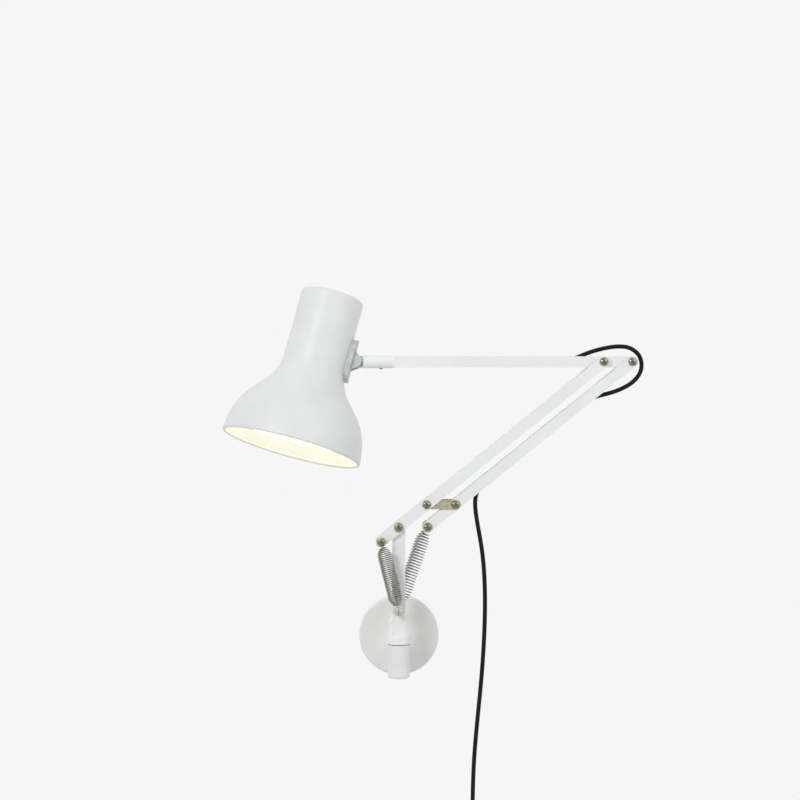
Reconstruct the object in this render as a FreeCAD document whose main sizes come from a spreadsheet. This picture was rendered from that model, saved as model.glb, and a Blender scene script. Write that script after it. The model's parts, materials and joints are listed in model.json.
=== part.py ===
"""Wall lamp with two sprung arms, a bell shade and a lead that hangs in a coil.

Frame, in millimetres: the origin is the centre of the wall plate's back, on the wall. +Z is up,
+Y goes into the wall, and +X runs to the right along it. The arms lie parallel to the wall, in
the plane y = -standoff. Inside that plane, a pin or a spring is placed by how far it stands in
front of it, towards the room.
"""

import math
import operator
import os

import FreeCAD
import Part
import Sketcher
from FreeCAD import Placement, Rotation, Vector

SIZES = {
    # wall plate and bracket
    "plate_radius": 37.5,
    "plate_depth": 9.0,
    "plate_front": 2.8,
    "plate_rim": 3.3,
    "plate_round": 2.2,
    "backing_thickness": 3.0,
    "wall_screw_spacing": 46.0,
    "wall_screw_hole": 2.4,
    "standoff": 54.0,
    "boss_radius": 10.0,
    "web_width": 12.0,
    "rim_screw_radius": 1.25,
    # socket and stem
    "socket_radius": 10.0,
    "socket_top": -3.2,
    "socket_length": 30.8,
    "socket_floor": 3.0,
    "bush_wall": 1.2,
    "bush_flange": 0.5,
    "spigot_radius": 7.0,
    "spigot_groove": 1.2,
    "groove_height": 4.0,
    "swivel_screw_height": -20.0,
    "swivel_screw_radius": 2.0,
    "collar_height": 7.6,
    "collar_edge": 1.0,
    "stem_width": 18.0,
    "stem_depth": 15.0,
    "stem_flat": 11.0,
    "stem_top": 26.0,
    "stem_taper": 6.0,
    "tongue_height": 16.0,
    # upright
    "upright_width": 12.0,
    "upright_depth": 10.0,
    "upright_sheet": 1.5,
    "upright_round": 5.7,
    "anchor_height": 29.5,
    "pivot_height": 105.5,
    # arms and link
    "arm_angle": 38.9,
    "arm_length": 242.0,
    "arm_width": 10.0,
    "arm_sheet": 1.0,
    "arm_end": 5.2,
    "arm_round": 4.8,
    "elbow_opening": 36.0,
    "pivot_opening": 13.0,
    "lever_length": 20.5,
    "link_place": 33.0,
    "link_length": 26.5,
    "link_width": 8.7,
    "link_room": 1.6,
    "link_sheet": 1.2,
    # pivots
    "play": 0.1,
    "running_fit": 0.05,
    "pin_radius": 2.0,
    "head_radius": 4.0,
    "head_height": 2.3,
    "head_slot": 0.9,
    "washer_radius": 5.0,
    "washer_thickness": 0.8,
    "spacer_radius": 4.6,
    "thin_spacer": 0.6,
    "nut_radius": 3.9,
    "nut_height": 3.0,
    "thin_nut": 2.0,
    "sleeve_radius": 3.2,
    # springs
    "spring_offset": 17.0,
    "spring_radius": 6.5,
    "spring_wire": 1.0,
    "spring_lead": 9.0,
    "hook_gap": 0.2,
    "hook_room": 1.6,
    "front_turns": 29,
    "rear_turns": 26,
    # forearm
    "forearm_width": 10.0,
    "forearm_wall": 1.0,
    "forearm_tail": 4.0,
    "forearm_reach": 228.5,
    "tail_round": 3.0,
    "slot_start": -40.0,
    "slot_length": 28.0,
    "slot_width": 5.0,
    "ferrule_radius": 5.85,
    "ferrule_length": 29.4,
    "ferrule_round_part": 26.0,
    "ferrule_spigot": 14.0,
    "ferrule_screw_place": 23.8,
    "ferrule_screw_radius": 1.2,
    # joint at the shade
    "head_roll": 10.5,
    "head_tilt": 14.8,
    "knuckle_radius": 4.0,
    "knuckle_collar": 4.9,
    "knuckle_collar_start": 6.5,
    "knuckle_collar_end": 7.5,
    "knuckle_length": 31.0,
    "knuckle_groove": 1.0,
    "knuckle_width": 5.2,
    "knuckle_round": 5.1,
    "ear_radius": 6.0,
    "ear_width": 3.0,
    "ear_foot": 8.5,
    "saddle_width": 19.0,
    "saddle_above": 19.5,
    "saddle_below": 21.0,
    "saddle_thickness": 5.0,
    "saddle_round": 8.0,
    "saddle_gap": 0.15,
    "screw_room": 0.06,
    "saddle_screw_place": 13.5,
    "saddle_screw_radius": 1.5,
    # shade
    "shade_offset": 36.0,
    "shade_above": 55.0,
    "shade_wall": 1.2,
    "shade_dome": 3.0,
    "shade_edge": 3.0,
    "neck_radius": 29.4,
    "neck_length": 80.6,
    "neck_flare": 43.0,
    "shoulder_radius": 62.1,
    "shoulder_place": 118.4,
    "shoulder_curve": 60.0,
    "mouth_radius": 65.0,
    "mouth_place": 147.5,
    "lip_width": 2.8,
    "lip_height": 2.4,
    # lampholder, lamp and switch
    "button_radius": 4.0,
    "button_height": 1.6,
    "button_travel": 2.0,
    "switch_neck": 6.4,
    "switch_radius": 10.0,
    "switch_depth": 14.0,
    "holder_radius": 14.0,
    "holder_length": 40.0,
    "lamp_cap_radius": 6.9,
    "lamp_cap_length": 24.0,
    "lamp_radius": 22.5,
    "lamp_neck": 9.0,
    "lamp_flare": 26.0,
    "lamp_rim": 3.0,
    "lamp_crown": 5.0,
    # cord
    "cord_radius": 2.0,
    "fixed_fit": 0.02,
    "cord_depth": -1.5,
    "lower_grommet": 69.0,
    "upper_grommet": 172.0,
    "grommet_length": 8.0,
    "coil_turns": 3,
    "coil_layers": 4,
    "coil_pitch": 4.6,
    "coil_radius": 22.0,
    "tie_width": 7.0,
    "tie_thickness": 1.0,
    "plug_length": 32.0,
    "plug_width": 26.0,
    "plug_thickness": 13.0,
    "plug_pin_radius": 2.0,
    "plug_pin_length": 19.0,
    "plug_pin_spacing": 18.6,
    "relief_length": 20.0,
}

DOC = FreeCAD.newDocument("WallLamp")
SUB_PARTS = []
FORWARD = Rotation(Vector(1, 0, 0), 90)  # turns a piece's own +Z to point into the room
CORD_SIDES = 8  # the free cord's section, as a polygon
BIG = 1.0  # how far a cutting outline runs past the solid that it cuts


# ---------------------------------------------------------------------------------------------
# Sizes: a number and the expression that gives it from the sheet, kept together


class Size:
    """A size worked out from the sheet: its number now, and its expression."""

    def __init__(self, number, text=None):
        self.number = float(number)
        self.text = text if text else repr(float(number))

    def __add__(self, other):
        return combined(operator.add, "+", self, other)

    def __radd__(self, other):
        return combined(operator.add, "+", other, self)

    def __sub__(self, other):
        return combined(operator.sub, "-", self, other)

    def __rsub__(self, other):
        return combined(operator.sub, "-", other, self)

    def __mul__(self, other):
        return combined(operator.mul, "*", self, other)

    def __rmul__(self, other):
        return combined(operator.mul, "*", other, self)

    def __truediv__(self, other):
        return combined(operator.truediv, "/", self, other)

    def __neg__(self):
        return combined(operator.mul, "*", -1, self)

    def __abs__(self):
        return self if self.number >= 0 else -self


def as_size(value):
    return value if isinstance(value, Size) else Size(value)


def combined(function, sign, left, right):
    left, right = as_size(left), as_size(right)
    return Size(function(left.number, right.number), f"({left.text} {sign} {right.text})")


def root(value):
    """The square root of a size."""
    return Size(math.sqrt(value.number), f"sqrt({value.text})")


def make_sheet():
    """The sheet of driving sizes, and a Size for each of its cells."""
    sheet = DOC.addObject("Spreadsheet::Sheet", "Sizes")
    for row, (name, value) in enumerate(SIZES.items(), start=1):
        sheet.set(f"A{row}", name)
        sheet.set(f"B{row}", str(value))
        sheet.setAlias(f"B{row}", name)
    DOC.recompute()
    return {name: Size(getattr(sheet, name), f"Sizes.{name}") for name in SIZES}


def bind(thing, prop, value):
    """Binds a property of an object to the sheet."""
    thing.setExpression(prop, as_size(value).text)


# ---------------------------------------------------------------------------------------------
# Pieces made as bodies of sketches and features


class Piece:
    """A body that is built up feature by feature, all of them bound to the sheet."""

    def __init__(self, name, place=None):
        self.body = DOC.addObject("PartDesign::Body", name)
        self.body.Label = name
        self.body.Placement = place or Placement()

    def origin(self, role):
        return next(f for f in self.body.Origin.OriginFeatures if f.Role == role)

    def sketch(self, plane, lift=0):
        """An empty sketch on one of the body's planes, lifted along its normal."""
        made = self.body.newObject("Sketcher::SketchObject", "Sketch")
        made.AttachmentSupport = [(self.origin(plane + "_Plane"), "")]
        made.MapMode = "FlatFace"
        bind(made, "AttachmentOffset.Base.z", lift)
        return made

    def outline(self, plane, points, lift=0, arcs=None):
        """A closed outline, drawn anticlockwise. arcs holds the radius of the edge after a point,
        negative where it bulges inwards."""
        arcs = arcs or {}
        made = self.sketch(plane, lift)
        count = len(points)
        flat = [Vector(as_size(x).number, as_size(y).number, 0) for x, y in points]
        for i, start in enumerate(flat):
            end = flat[(i + 1) % count]
            radius = arcs.get(i)
            made.addGeometry(arc_on(start, end, radius) if radius else Part.LineSegment(start, end))
        ends = [edge_ends(arcs.get(i)) for i in range(count)]
        for i, (x, y) in enumerate(points):
            after = (i + 1) % count
            where = (i, ends[i][1], after, ends[after][0])
            made.addConstraint(Sketcher.Constraint("Coincident", *where))
            for kind, value in (("DistanceX", x), ("DistanceY", y)):
                self.dimension(made, kind, (-1, 1, i, ends[i][0]), value)
        for i, radius in arcs.items():
            self.dimension(made, "Radius", (i,), abs(as_size(radius)))
        return made

    def circles(self, plane, rings, lift=0):
        """A sketch of circles, each (x, y, radius)."""
        made = self.sketch(plane, lift)
        for i, (x, y, radius) in enumerate(rings):
            centre = Vector(as_size(x).number, as_size(y).number, 0)
            made.addGeometry(Part.Circle(centre, Vector(0, 0, 1), as_size(radius).number))
            self.dimension(made, "DistanceX", (-1, 1, i, 3), x)
            self.dimension(made, "DistanceY", (-1, 1, i, 3), y)
            self.dimension(made, "Radius", (i,), radius)
        return made

    @staticmethod
    def dimension(sketch, kind, where, value):
        value = as_size(value)
        index = sketch.addConstraint(Sketcher.Constraint(kind, *where, value.number))
        sketch.setExpression(f"Constraints[{index}]", value.text)

    def feature(self, kind, sketch, reverse=False):
        made = self.body.newObject("PartDesign::" + kind, kind)
        made.Profile = sketch
        made.Reversed = reverse
        return made

    def pad(self, sketch, length, middle=False, reverse=False):
        made = self.feature("Pad", sketch, reverse)
        made.SideType = "Symmetric" if middle else "One side"
        bind(made, "Length", length)
        DOC.recompute()
        return self

    def pocket(self, sketch, length, middle=False, reverse=False):
        made = self.feature("Pocket", sketch, reverse)
        made.SideType = "Symmetric" if middle else "One side"
        bind(made, "Length", length)
        DOC.recompute()
        return self

    def spin(self, sketch, axis="Z", cut=False):
        made = self.feature("Groove" if cut else "Revolution", sketch)
        made.ReferenceAxis = (self.origin(axis + "_Axis"), [""])
        made.Angle = 360
        DOC.recompute()
        return self

    def loft(self, first, second):
        made = self.feature("AdditiveLoft", first)
        made.Sections = [second]
        made.Ruled = True
        DOC.recompute()
        return self

    def round(self, picked, radius):
        """Rounds the edges that picked says yes to, by a fillet."""
        return self.ease("Fillet", "Radius", picked, radius)

    def bevel(self, picked, width):
        """Bevels the edges that picked says yes to, by a chamfer."""
        return self.ease("Chamfer", "Size", picked, width)

    def ease(self, kind, key, picked, value):
        tip = self.body.Tip
        names = [f"Edge{i}" for i, e in enumerate(tip.Shape.Edges, start=1) if picked(e)]
        made = self.body.newObject(f"PartDesign::{kind}", kind)
        made.Base = (tip, names)
        bind(made, key, value)
        DOC.recompute()
        return self


def edge_ends(radius):
    """Which points of a sketch edge start and end it: an inward arc is stored the other way."""
    inward = radius is not None and as_size(radius).number < 0
    return (2, 1) if inward else (1, 2)


def arc_on(start, end, radius):
    """The arc from start to end of an outline drawn anticlockwise; see Piece.outline."""
    radius = as_size(radius).number
    chord = end - start
    outward = Vector(chord.y, -chord.x, 0).normalize() * math.copysign(1, radius)
    rise = abs(radius) - math.sqrt(radius**2 - (chord.Length / 2) ** 2)
    return Part.Arc(start, start + chord / 2 + outward * rise, end)


def curve_of(edge):
    """An edge's curve, or None for an offset curve, which has no class here."""
    try:
        return edge.Curve
    except TypeError:
        return None


def along_y(edge):
    """True for a straight edge that runs along the body's Y axis."""
    curve = curve_of(edge)
    return isinstance(curve, Part.Line) and abs(abs(curve.Direction.y) - 1) < 1e-6


def along_x(edge):
    """True for a straight edge that runs along the body's X axis."""
    curve = curve_of(edge)
    return isinstance(curve, Part.Line) and abs(abs(curve.Direction.x) - 1) < 1e-6


def circle_at(axis, place, radius):
    """A test for a circular edge round an axis, at a place along it and of a radius."""

    def fits(edge):
        curve = curve_of(edge)
        if not isinstance(curve, Part.Circle):
            return False
        off = abs(getattr(curve.Center, axis) - as_size(place).number)
        return off < 1e-4 and abs(curve.Radius - as_size(radius).number) < 1e-4

    return fits


def rectangle(left, low, right, high):
    return [(left, low), (right, low), (right, high), (left, high)]


def at(frame, x=0, y=0, z=0, turn=None):
    """A place inside a frame."""
    spot = Vector(*(as_size(v).number for v in (x, y, z)))
    return frame.multiply(Placement(spot, turn or Rotation()))


def sub_part(thing):
    """Marks a finished object as a sub-part of the lamp, which gets its own file."""
    SUB_PARTS.append(thing)
    return thing


def group(name, pieces):
    """Several separate solids under one name."""
    made = DOC.addObject("Part::Compound", name)
    made.Label = name
    made.Links = pieces
    return sub_part(made)


def solid(name, shape, place=None):
    """A sub-part whose shape is worked out by Part's own functions."""
    made = DOC.addObject("Part::Feature", name)
    made.Label = name
    made.Shape = shape
    if place:
        made.Placement = place
    return made


# ---------------------------------------------------------------------------------------------
# Turned pieces on a pivot: +Z of each is the way into the room


def ring(name, frame, low, high, outer, inner):
    """A washer, spacer or sleeve: one cylinder cut by another."""
    pair = []
    for which, radius, extra in (("outer", outer, 0), ("inner", inner, BIG)):
        made = DOC.addObject("Part::Cylinder", f"{name}_{which}")
        bind(made, "Radius", radius)
        bind(made, "Height", as_size(high) - low + 2 * extra)
        made.Placement = Placement(Vector(0, 0, (as_size(low) - extra).number), Rotation())
        pair.append(made)
    cut = DOC.addObject("Part::Cut", name)
    cut.Base, cut.Tool = pair
    cut.Label = name
    cut.Placement = frame
    return cut


def screw(name, frame, low, seat, s):
    """A slotted, domed screw: its shank starts at low, and its head sits on seat."""
    pin, head, height, slot = (s[k] for k in ("pin_radius", "head_radius", "head_height", "head_slot"))
    profile = [
        (0, low),
        (pin, low),
        (pin, seat),
        (head, seat),
        (head, seat + height * 0.35),
        (head * 0.75, seat + height * 0.8),
        (head * 0.35, seat + height),
        (0, seat + height),
    ]
    made = Piece(name, frame)
    made.spin(made.outline("XZ", profile))
    notch = rectangle(-slot / 2, seat + height * 0.6, slot / 2, seat + height + BIG)
    made.pocket(made.outline("XZ", notch), head * 2 + BIG, middle=True)
    return made.body


def nut(name, frame, seat, s, height=None):
    """A hexagonal nut under seat, on a screw's shank."""
    radius, height = s["nut_radius"], height or s["nut_height"]
    corners = []
    for i in range(6):
        turn = math.radians(60 * i)
        corners.append((radius * round(math.cos(turn), 6), radius * round(math.sin(turn), 6)))
    made = Piece(name, frame)
    made.pad(made.outline("XY", corners, lift=as_size(seat) - height), height)
    hole = made.circles("XY", [(0, 0, s["pin_radius"])], lift=as_size(seat) + BIG)
    made.pocket(hole, height + 2 * BIG)
    return made.body


# ---------------------------------------------------------------------------------------------
# Tubes along a path: cords, springs and the coil


def tube(path, radius, sides=0):
    """A solid tube along a wire: round, or with a few flat sides for a thin one."""
    start = path.Edges[0]
    point = start.valueAt(start.FirstParameter)
    ahead = start.tangentAt(start.FirstParameter)
    if not sides:
        section = Part.Wire([Part.Circle(point, ahead, radius).toShape()])
    else:
        across = ahead.cross(Vector(0.31, 0.93, 0.17)).normalize()
        corners = [
            point + Rotation(ahead, 360 * i / sides).multVec(across) * radius for i in range(sides)
        ]
        section = Part.makePolygon([*corners, corners[0]])
    made = path.makePipeShell([section], True, False)
    return made.Solids[0] if made.ShapeType != "Solid" else made


def route(points):
    """Straight runs between points with an arc at each corner, and the arcs' radii."""
    edges, radii = [], []
    here = points[0]
    for before, corner, after in zip(points, points[1:], points[2:]):
        come, go = (corner - before).normalize(), (after - corner).normalize()
        shorter = min((corner - before).Length, (after - corner).Length)
        half_turn = come.getAngle(go) / 2
        reach = 0.45 * shorter
        radius = reach / math.tan(half_turn)
        inward = (go - come).normalize()
        middle = corner + inward * (radius / math.cos(half_turn) - radius)
        edges.append(Part.LineSegment(here, corner - come * reach).toShape())
        edges.append(Part.Arc(corner - come * reach, middle, corner + go * reach).toShape())
        here = corner + go * reach
        radii.append(radius)
    edges.append(Part.LineSegment(here, points[-1]).toShape())
    return Part.Wire(edges), radii


def single_arc(start, ahead, end):
    """The arc that leaves start along ahead and ends at end, or a line if it is straight."""
    chord = end - start
    side = chord - ahead * chord.dot(ahead)
    if side.Length < 1e-7:
        return Part.LineSegment(start, end).toShape()
    side = side.normalize()
    half = math.atan2(chord.dot(side), chord.dot(ahead))
    radius = chord.Length / (2 * math.sin(half))
    middle = start + ahead * (radius * math.sin(half)) + side * (radius * (1 - math.cos(half)))
    return Part.Arc(start, middle, end).toShape()


def biarc(start, ahead, end, onward):
    """Two arcs from start to end that leave and arrive in the directions given."""
    gap = end - start
    along = gap.dot(ahead + onward)
    spread = 2 * (1 - ahead.dot(onward))
    reach = gap.Length / 4
    if spread > 1e-9:
        reach = (math.sqrt(along**2 + spread * gap.dot(gap)) - along) / spread
    middle = (start + ahead * reach + end - onward * reach) / 2
    first = single_arc(start, ahead, middle)
    arrive = first.tangentAt(first.LastParameter)
    return [first, single_arc(middle, arrive, end)]


def arcs_through(stations):
    """A wire through stations, each a point and the direction there."""
    edges = []
    for (start, ahead), (end, onward) in zip(stations, stations[1:]):
        edges += biarc(start, ahead, end, onward)
    return Part.Wire(edges)


def least_gap(path, diameter, step):
    """The least gap between stretches of a tube that lie more than a few diameters apart."""
    points = path.discretize(Distance=step)
    skip = int(4 * diameter / step) + 1
    nearest = min(
        (p - q).Length for i, p in enumerate(points) for q in points[i + skip :]
    )
    return nearest - diameter


def direction(curve, t):
    """The direction of a curve, given as a function, at t."""
    small = 1e-4
    return (curve(t + small) - curve(t - small)).normalize()


# ---------------------------------------------------------------------------------------------
# The lamp


class Lamp:
    """Builds the lamp's sub-parts from the sheet."""

    def __init__(self):
        s = self.s = make_sheet()
        self.layers()
        self.frames()
        self.wall_mount()
        self.stem()
        self.upright()
        self.lower_arm()
        self.balance_arm()
        self.link()
        self.springs(s["spring_radius"].number, s["spring_wire"].number)
        self.forearm()
        self.knuckle()
        self.bracket()
        self.shade()
        self.light()
        self.cords()

    def layers(self):
        """How far the pressed sheets stand from the arms' middle plane, from the inside out."""
        s = self.s
        self.balance_inner = s["forearm_width"] / 2 + s["thin_spacer"] + 2 * s["play"]
        self.balance_outer = self.balance_inner + s["arm_sheet"]
        self.link_inner = self.balance_outer + s["play"]
        self.link_outer = self.link_inner + s["link_sheet"]
        self.lower_inner = self.link_outer + s["play"]
        self.lower_outer = self.lower_inner + s["arm_sheet"]
        self.hook_low = s["spring_offset"] - s["hook_room"]
        self.hook_high = s["spring_offset"] + s["hook_room"]
        self.bore = s["pin_radius"] + s["running_fit"]
        self.flare_out = s["shoulder_radius"] - s["neck_radius"]
        self.flare_down = s["shoulder_place"] - s["neck_length"]
        self.flare = root(self.flare_out * self.flare_out + self.flare_down * self.flare_down)
        self.neck_turn = self.flare_out / (self.flare + self.flare_down)  # tangent of half of it

    def frames(self):
        """The places that the moving sub-assemblies are built in."""
        s = self.s
        out = -s["standoff"].number
        tilt = Rotation(Vector(0, 1, 0), -s["arm_angle"].number)
        pivot = Vector(0, out, s["pivot_height"].number)
        self.lamp = Placement(Vector(0, out, 0), Rotation())
        self.arm = Placement(pivot, tilt)
        self.balance = Placement(pivot + Vector(s["link_length"].number, 0, 0), tilt)
        self.link_frame = Placement(at(self.arm, s["link_place"]).Base, Rotation())
        self.elbow = Placement(at(self.arm, s["arm_length"]).Base, Rotation())
        roll = Rotation(Vector(1, 0, 0), -s["head_roll"].number)
        self.hub = at(self.elbow, -s["forearm_reach"], turn=roll)
        self.head = at(self.hub, turn=Rotation(Vector(0, 1, 0), s["head_tilt"].number))
        self.shade_frame = at(self.head, -s["shade_offset"], 0, s["shade_above"])

    # --- wall side

    def wall_mount(self):
        s = self.s
        radius, depth, back = s["plate_radius"], s["plate_depth"], s["backing_thickness"]
        out, top = s["standoff"], s["socket_top"]
        bottom = top - s["socket_length"]
        seat = s["play"] / 2
        plate = Piece("wall_bracket")
        inner = radius - s["plate_rim"]
        inside = -(depth - s["plate_front"])
        profile = [
            (0, -depth),
            (radius, -depth),
            (radius, -seat),
            (inner, -seat),
            (inner, inside),
            (s["boss_radius"], inside),
            (s["boss_radius"], -back - seat),
            (0, -back - seat),
        ]
        plate.spin(plate.outline("XY", profile), axis="Y")
        plate.round(circle_at("y", -depth, radius), s["plate_round"])
        web = [
            (-depth + seat, bottom + 2),
            (-out, bottom + 5),
            (-out, top - 2),
            (-depth + seat, top - 2),
        ]
        plate.pad(plate.outline("YZ", web), s["web_width"], middle=True)
        socket = plate.circles("XY", [(0, -out, s["socket_radius"])], lift=bottom)
        plate.pad(socket, s["socket_length"])
        plate.round(circle_at("z", bottom, s["socket_radius"]), s["plate_round"])
        bush_outer = s["spigot_radius"] + s["running_fit"] + s["bush_wall"]
        bore = plate.circles("XY", [(0, -out, bush_outer + s["running_fit"])], lift=top)
        plate.pocket(bore, s["socket_length"] - s["socket_floor"])
        rim_hole = s["rim_screw_radius"] + s["fixed_fit"]
        rim = plate.circles("XY", [(0, -back / 2, rim_hole)], lift=0)
        plate.pocket(rim, radius * 2 + BIG, middle=True)
        side = s["swivel_screw_radius"] + s["fixed_fit"]
        hole = plate.circles("YZ", [(-out, s["swivel_screw_height"], side)])
        plate.pocket(hole, s["socket_radius"] + BIG, reverse=True)
        sub_part(plate.body)

        backing = Piece("backing_plate")
        spread = s["wall_screw_spacing"] / 2
        holes = [(-spread, 0, s["wall_screw_hole"]), (spread, 0, s["wall_screw_hole"])]
        disc = backing.circles("XZ", [(0, 0, inner - s["play"]), *holes])
        backing.pad(disc, back)
        sub_part(backing.body)

        screws = []
        for i, up in enumerate((0, 180)):
            place = Placement(Vector(0, -back.number / 2, 0), Rotation(Vector(0, 1, 0), up))
            grub = Piece(f"rim_screw_{i}", place)
            start = inner - s["play"] + seat
            grub.pad(grub.circles("XY", [(0, 0, s["rim_screw_radius"])], lift=start), s["plate_rim"])
            screws.append(grub.body)
        group("bracket_screws", screws)

        bush = Piece("socket_bush", self.lamp)
        inner_wall = s["spigot_radius"] + s["running_fit"]
        low = bottom + s["socket_floor"] + seat
        high = top + s["bush_flange"]
        flange = s["socket_radius"] - seat
        profile = [
            (inner_wall, low),
            (bush_outer, low),
            (bush_outer, top + seat),
            (flange, top + seat),
            (flange, high),
            (inner_wall, high),
        ]
        bush.spin(bush.outline("XZ", profile))
        hole = bush.circles("YZ", [(0, s["swivel_screw_height"], side)])
        bush.pocket(hole, s["socket_radius"] + BIG, reverse=True)
        sub_part(bush.body)

        grub = Piece("swivel_screw", self.lamp)
        tip = s["spigot_radius"] - s["spigot_groove"] + s["play"]
        place = grub.circles("YZ", [(0, s["swivel_screw_height"], s["swivel_screw_radius"])], lift=tip)
        grub.pad(place, s["socket_radius"] - tip - s["play"])
        sub_part(grub.body)

    # --- turning stem and upright

    def stem(self):
        s = self.s
        low = s["socket_top"] - s["socket_length"] + s["socket_floor"] + s["play"] + 0.4
        collar = s["socket_top"] + s["bush_flange"] + s["play"]
        top = collar + s["collar_height"]
        spigot, edge = s["spigot_radius"], s["collar_edge"]
        groove = spigot - s["spigot_groove"]
        groove_low = s["swivel_screw_height"] - s["groove_height"] / 2 - s["play"]
        groove_high = s["swivel_screw_height"] + s["groove_height"] / 2 + s["play"]
        profile = [
            (0, low),
            (spigot - edge, low),
            (spigot, low + edge),
            (spigot, groove_low),
            (groove, groove_low),
            (groove, groove_high),
            (spigot, groove_high),
            (spigot, collar),
            (s["socket_radius"], collar),
            (s["socket_radius"], top - edge),
            (s["socket_radius"] - edge, top),
            (0, top),
        ]
        stem = Piece("stem", self.lamp)
        stem.spin(stem.outline("XZ", profile))
        shoulder = s["stem_top"] - s["stem_taper"]
        wide = octagon(s["stem_width"], s["stem_depth"], s["stem_flat"])
        stem.pad(stem.outline("XY", wide, lift=top - BIG), shoulder - top + BIG)
        slim = octagon(s["upright_width"], s["upright_depth"], s["upright_width"] - 2)
        lower = stem.outline("XY", wide, lift=shoulder)
        upper = stem.outline("XY", slim, lift=s["stem_top"])
        stem.loft(lower, upper)
        inside = s["upright_sheet"] + s["play"]
        left = -s["upright_width"] / 2 + inside
        deep = s["upright_depth"] / 2 - inside
        tongue = rectangle(left, -deep, s["upright_width"] / 2 - 0.5, deep)
        start = s["stem_top"] - BIG
        stem.pad(stem.outline("XY", tongue, lift=start), s["tongue_height"] + BIG)
        pin = stem.circles("XZ", [(0, s["anchor_height"], s["pin_radius"] + s["fixed_fit"])])
        stem.pocket(pin, s["stem_depth"] + BIG, middle=True)
        sub_part(stem.body)

    def upright(self):
        s = self.s
        half = s["upright_width"] / 2
        low, high = s["stem_top"] + s["play"], s["pivot_height"] + half
        post = Piece("upright", self.lamp)
        face = post.outline("XZ", rectangle(-half, low, half, high))
        post.pad(face, s["upright_depth"], middle=True)
        top = high.number - 1e-3
        post.round(lambda e: along_y(e) and e.CenterOfMass.z > top, s["upright_round"])
        inside = rectangle(-half + s["upright_sheet"], low - BIG, half + BIG, high + BIG)
        hollow = s["upright_depth"] - 2 * s["upright_sheet"]
        post.pocket(post.outline("XZ", inside), hollow, middle=True)
        holes = [
            (0, s["anchor_height"], s["pin_radius"] + s["fixed_fit"]),
            (0, s["pivot_height"], self.bore),
        ]
        post.pocket(post.circles("XZ", holes), s["upright_depth"] + BIG, middle=True)
        sub_part(post.body)

        here = at(self.lamp, 0, 0, s["anchor_height"], FORWARD)
        face = s["upright_depth"] / 2
        rear = -self.hook_high - s["washer_thickness"]
        tail = rear - s["nut_height"] - 0.6
        head = self.hook_high + s["washer_thickness"]
        sub_part(screw("anchor_pin", here, tail, head, s))
        sub_part(nut("anchor_nut", here, rear, s))
        bore = s["pin_radius"] + s["fixed_fit"]
        sleeves = [
            ring("anchor_sleeve_front", here, face, self.hook_low, s["sleeve_radius"], bore),
            ring("anchor_sleeve_rear", here, -self.hook_low, -face, s["sleeve_radius"], bore),
        ]
        group("anchor_sleeves", sleeves)
        washers = [
            ring("anchor_washer_front", here, self.hook_high, head, s["washer_radius"], bore),
            ring("anchor_washer_rear", here, rear, -self.hook_high, s["washer_radius"], bore),
        ]
        group("anchor_washers", washers)

    # --- the two pressed arms and their link

    def pressed_arm(self, name, frame, start, inner, outer, places, opening):
        """A pressed channel with full cheeks and a back that is cut away round its pivots."""
        s = self.s
        half, end = s["arm_width"] / 2, s["arm_length"] + s["arm_end"]
        back = half - s["arm_sheet"]
        arm = Piece(name, frame)
        arm.pad(arm.outline("XZ", rectangle(start, -half, end, half)), outer * 2, middle=True)
        arm.round(along_y, s["arm_round"])
        inside = rectangle(start - BIG, -half - BIG, end + BIG, back)
        arm.pocket(arm.outline("XZ", inside), inner * 2, middle=True)
        clear = back - BIG
        low_cut = rectangle(start - BIG, clear, opening, half + BIG)
        arm.pocket(arm.outline("XZ", low_cut), inner * 2, middle=True)
        cut = rectangle(s["arm_length"] - s["elbow_opening"], clear, end + BIG, half + BIG)
        arm.pocket(arm.outline("XZ", cut), inner * 2, middle=True)
        fixed = s["pin_radius"] + s["fixed_fit"]
        holes = arm.circles("XZ", [(x, 0, fixed) for x in places])
        arm.pocket(holes, outer * 2 + BIG, middle=True)
        return sub_part(arm.body)

    def lower_arm(self):
        s = self.s
        lever, link, end = -s["lever_length"], s["link_place"], s["arm_length"]
        inner, outer = self.lower_inner, self.lower_outer
        places = [lever, 0, link, end]
        start = lever - s["arm_end"]
        opening = link + s["link_width"] / 2 + s["link_room"]
        self.pressed_arm("lower_arm", self.arm, start, inner, outer, places, opening)

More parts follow.
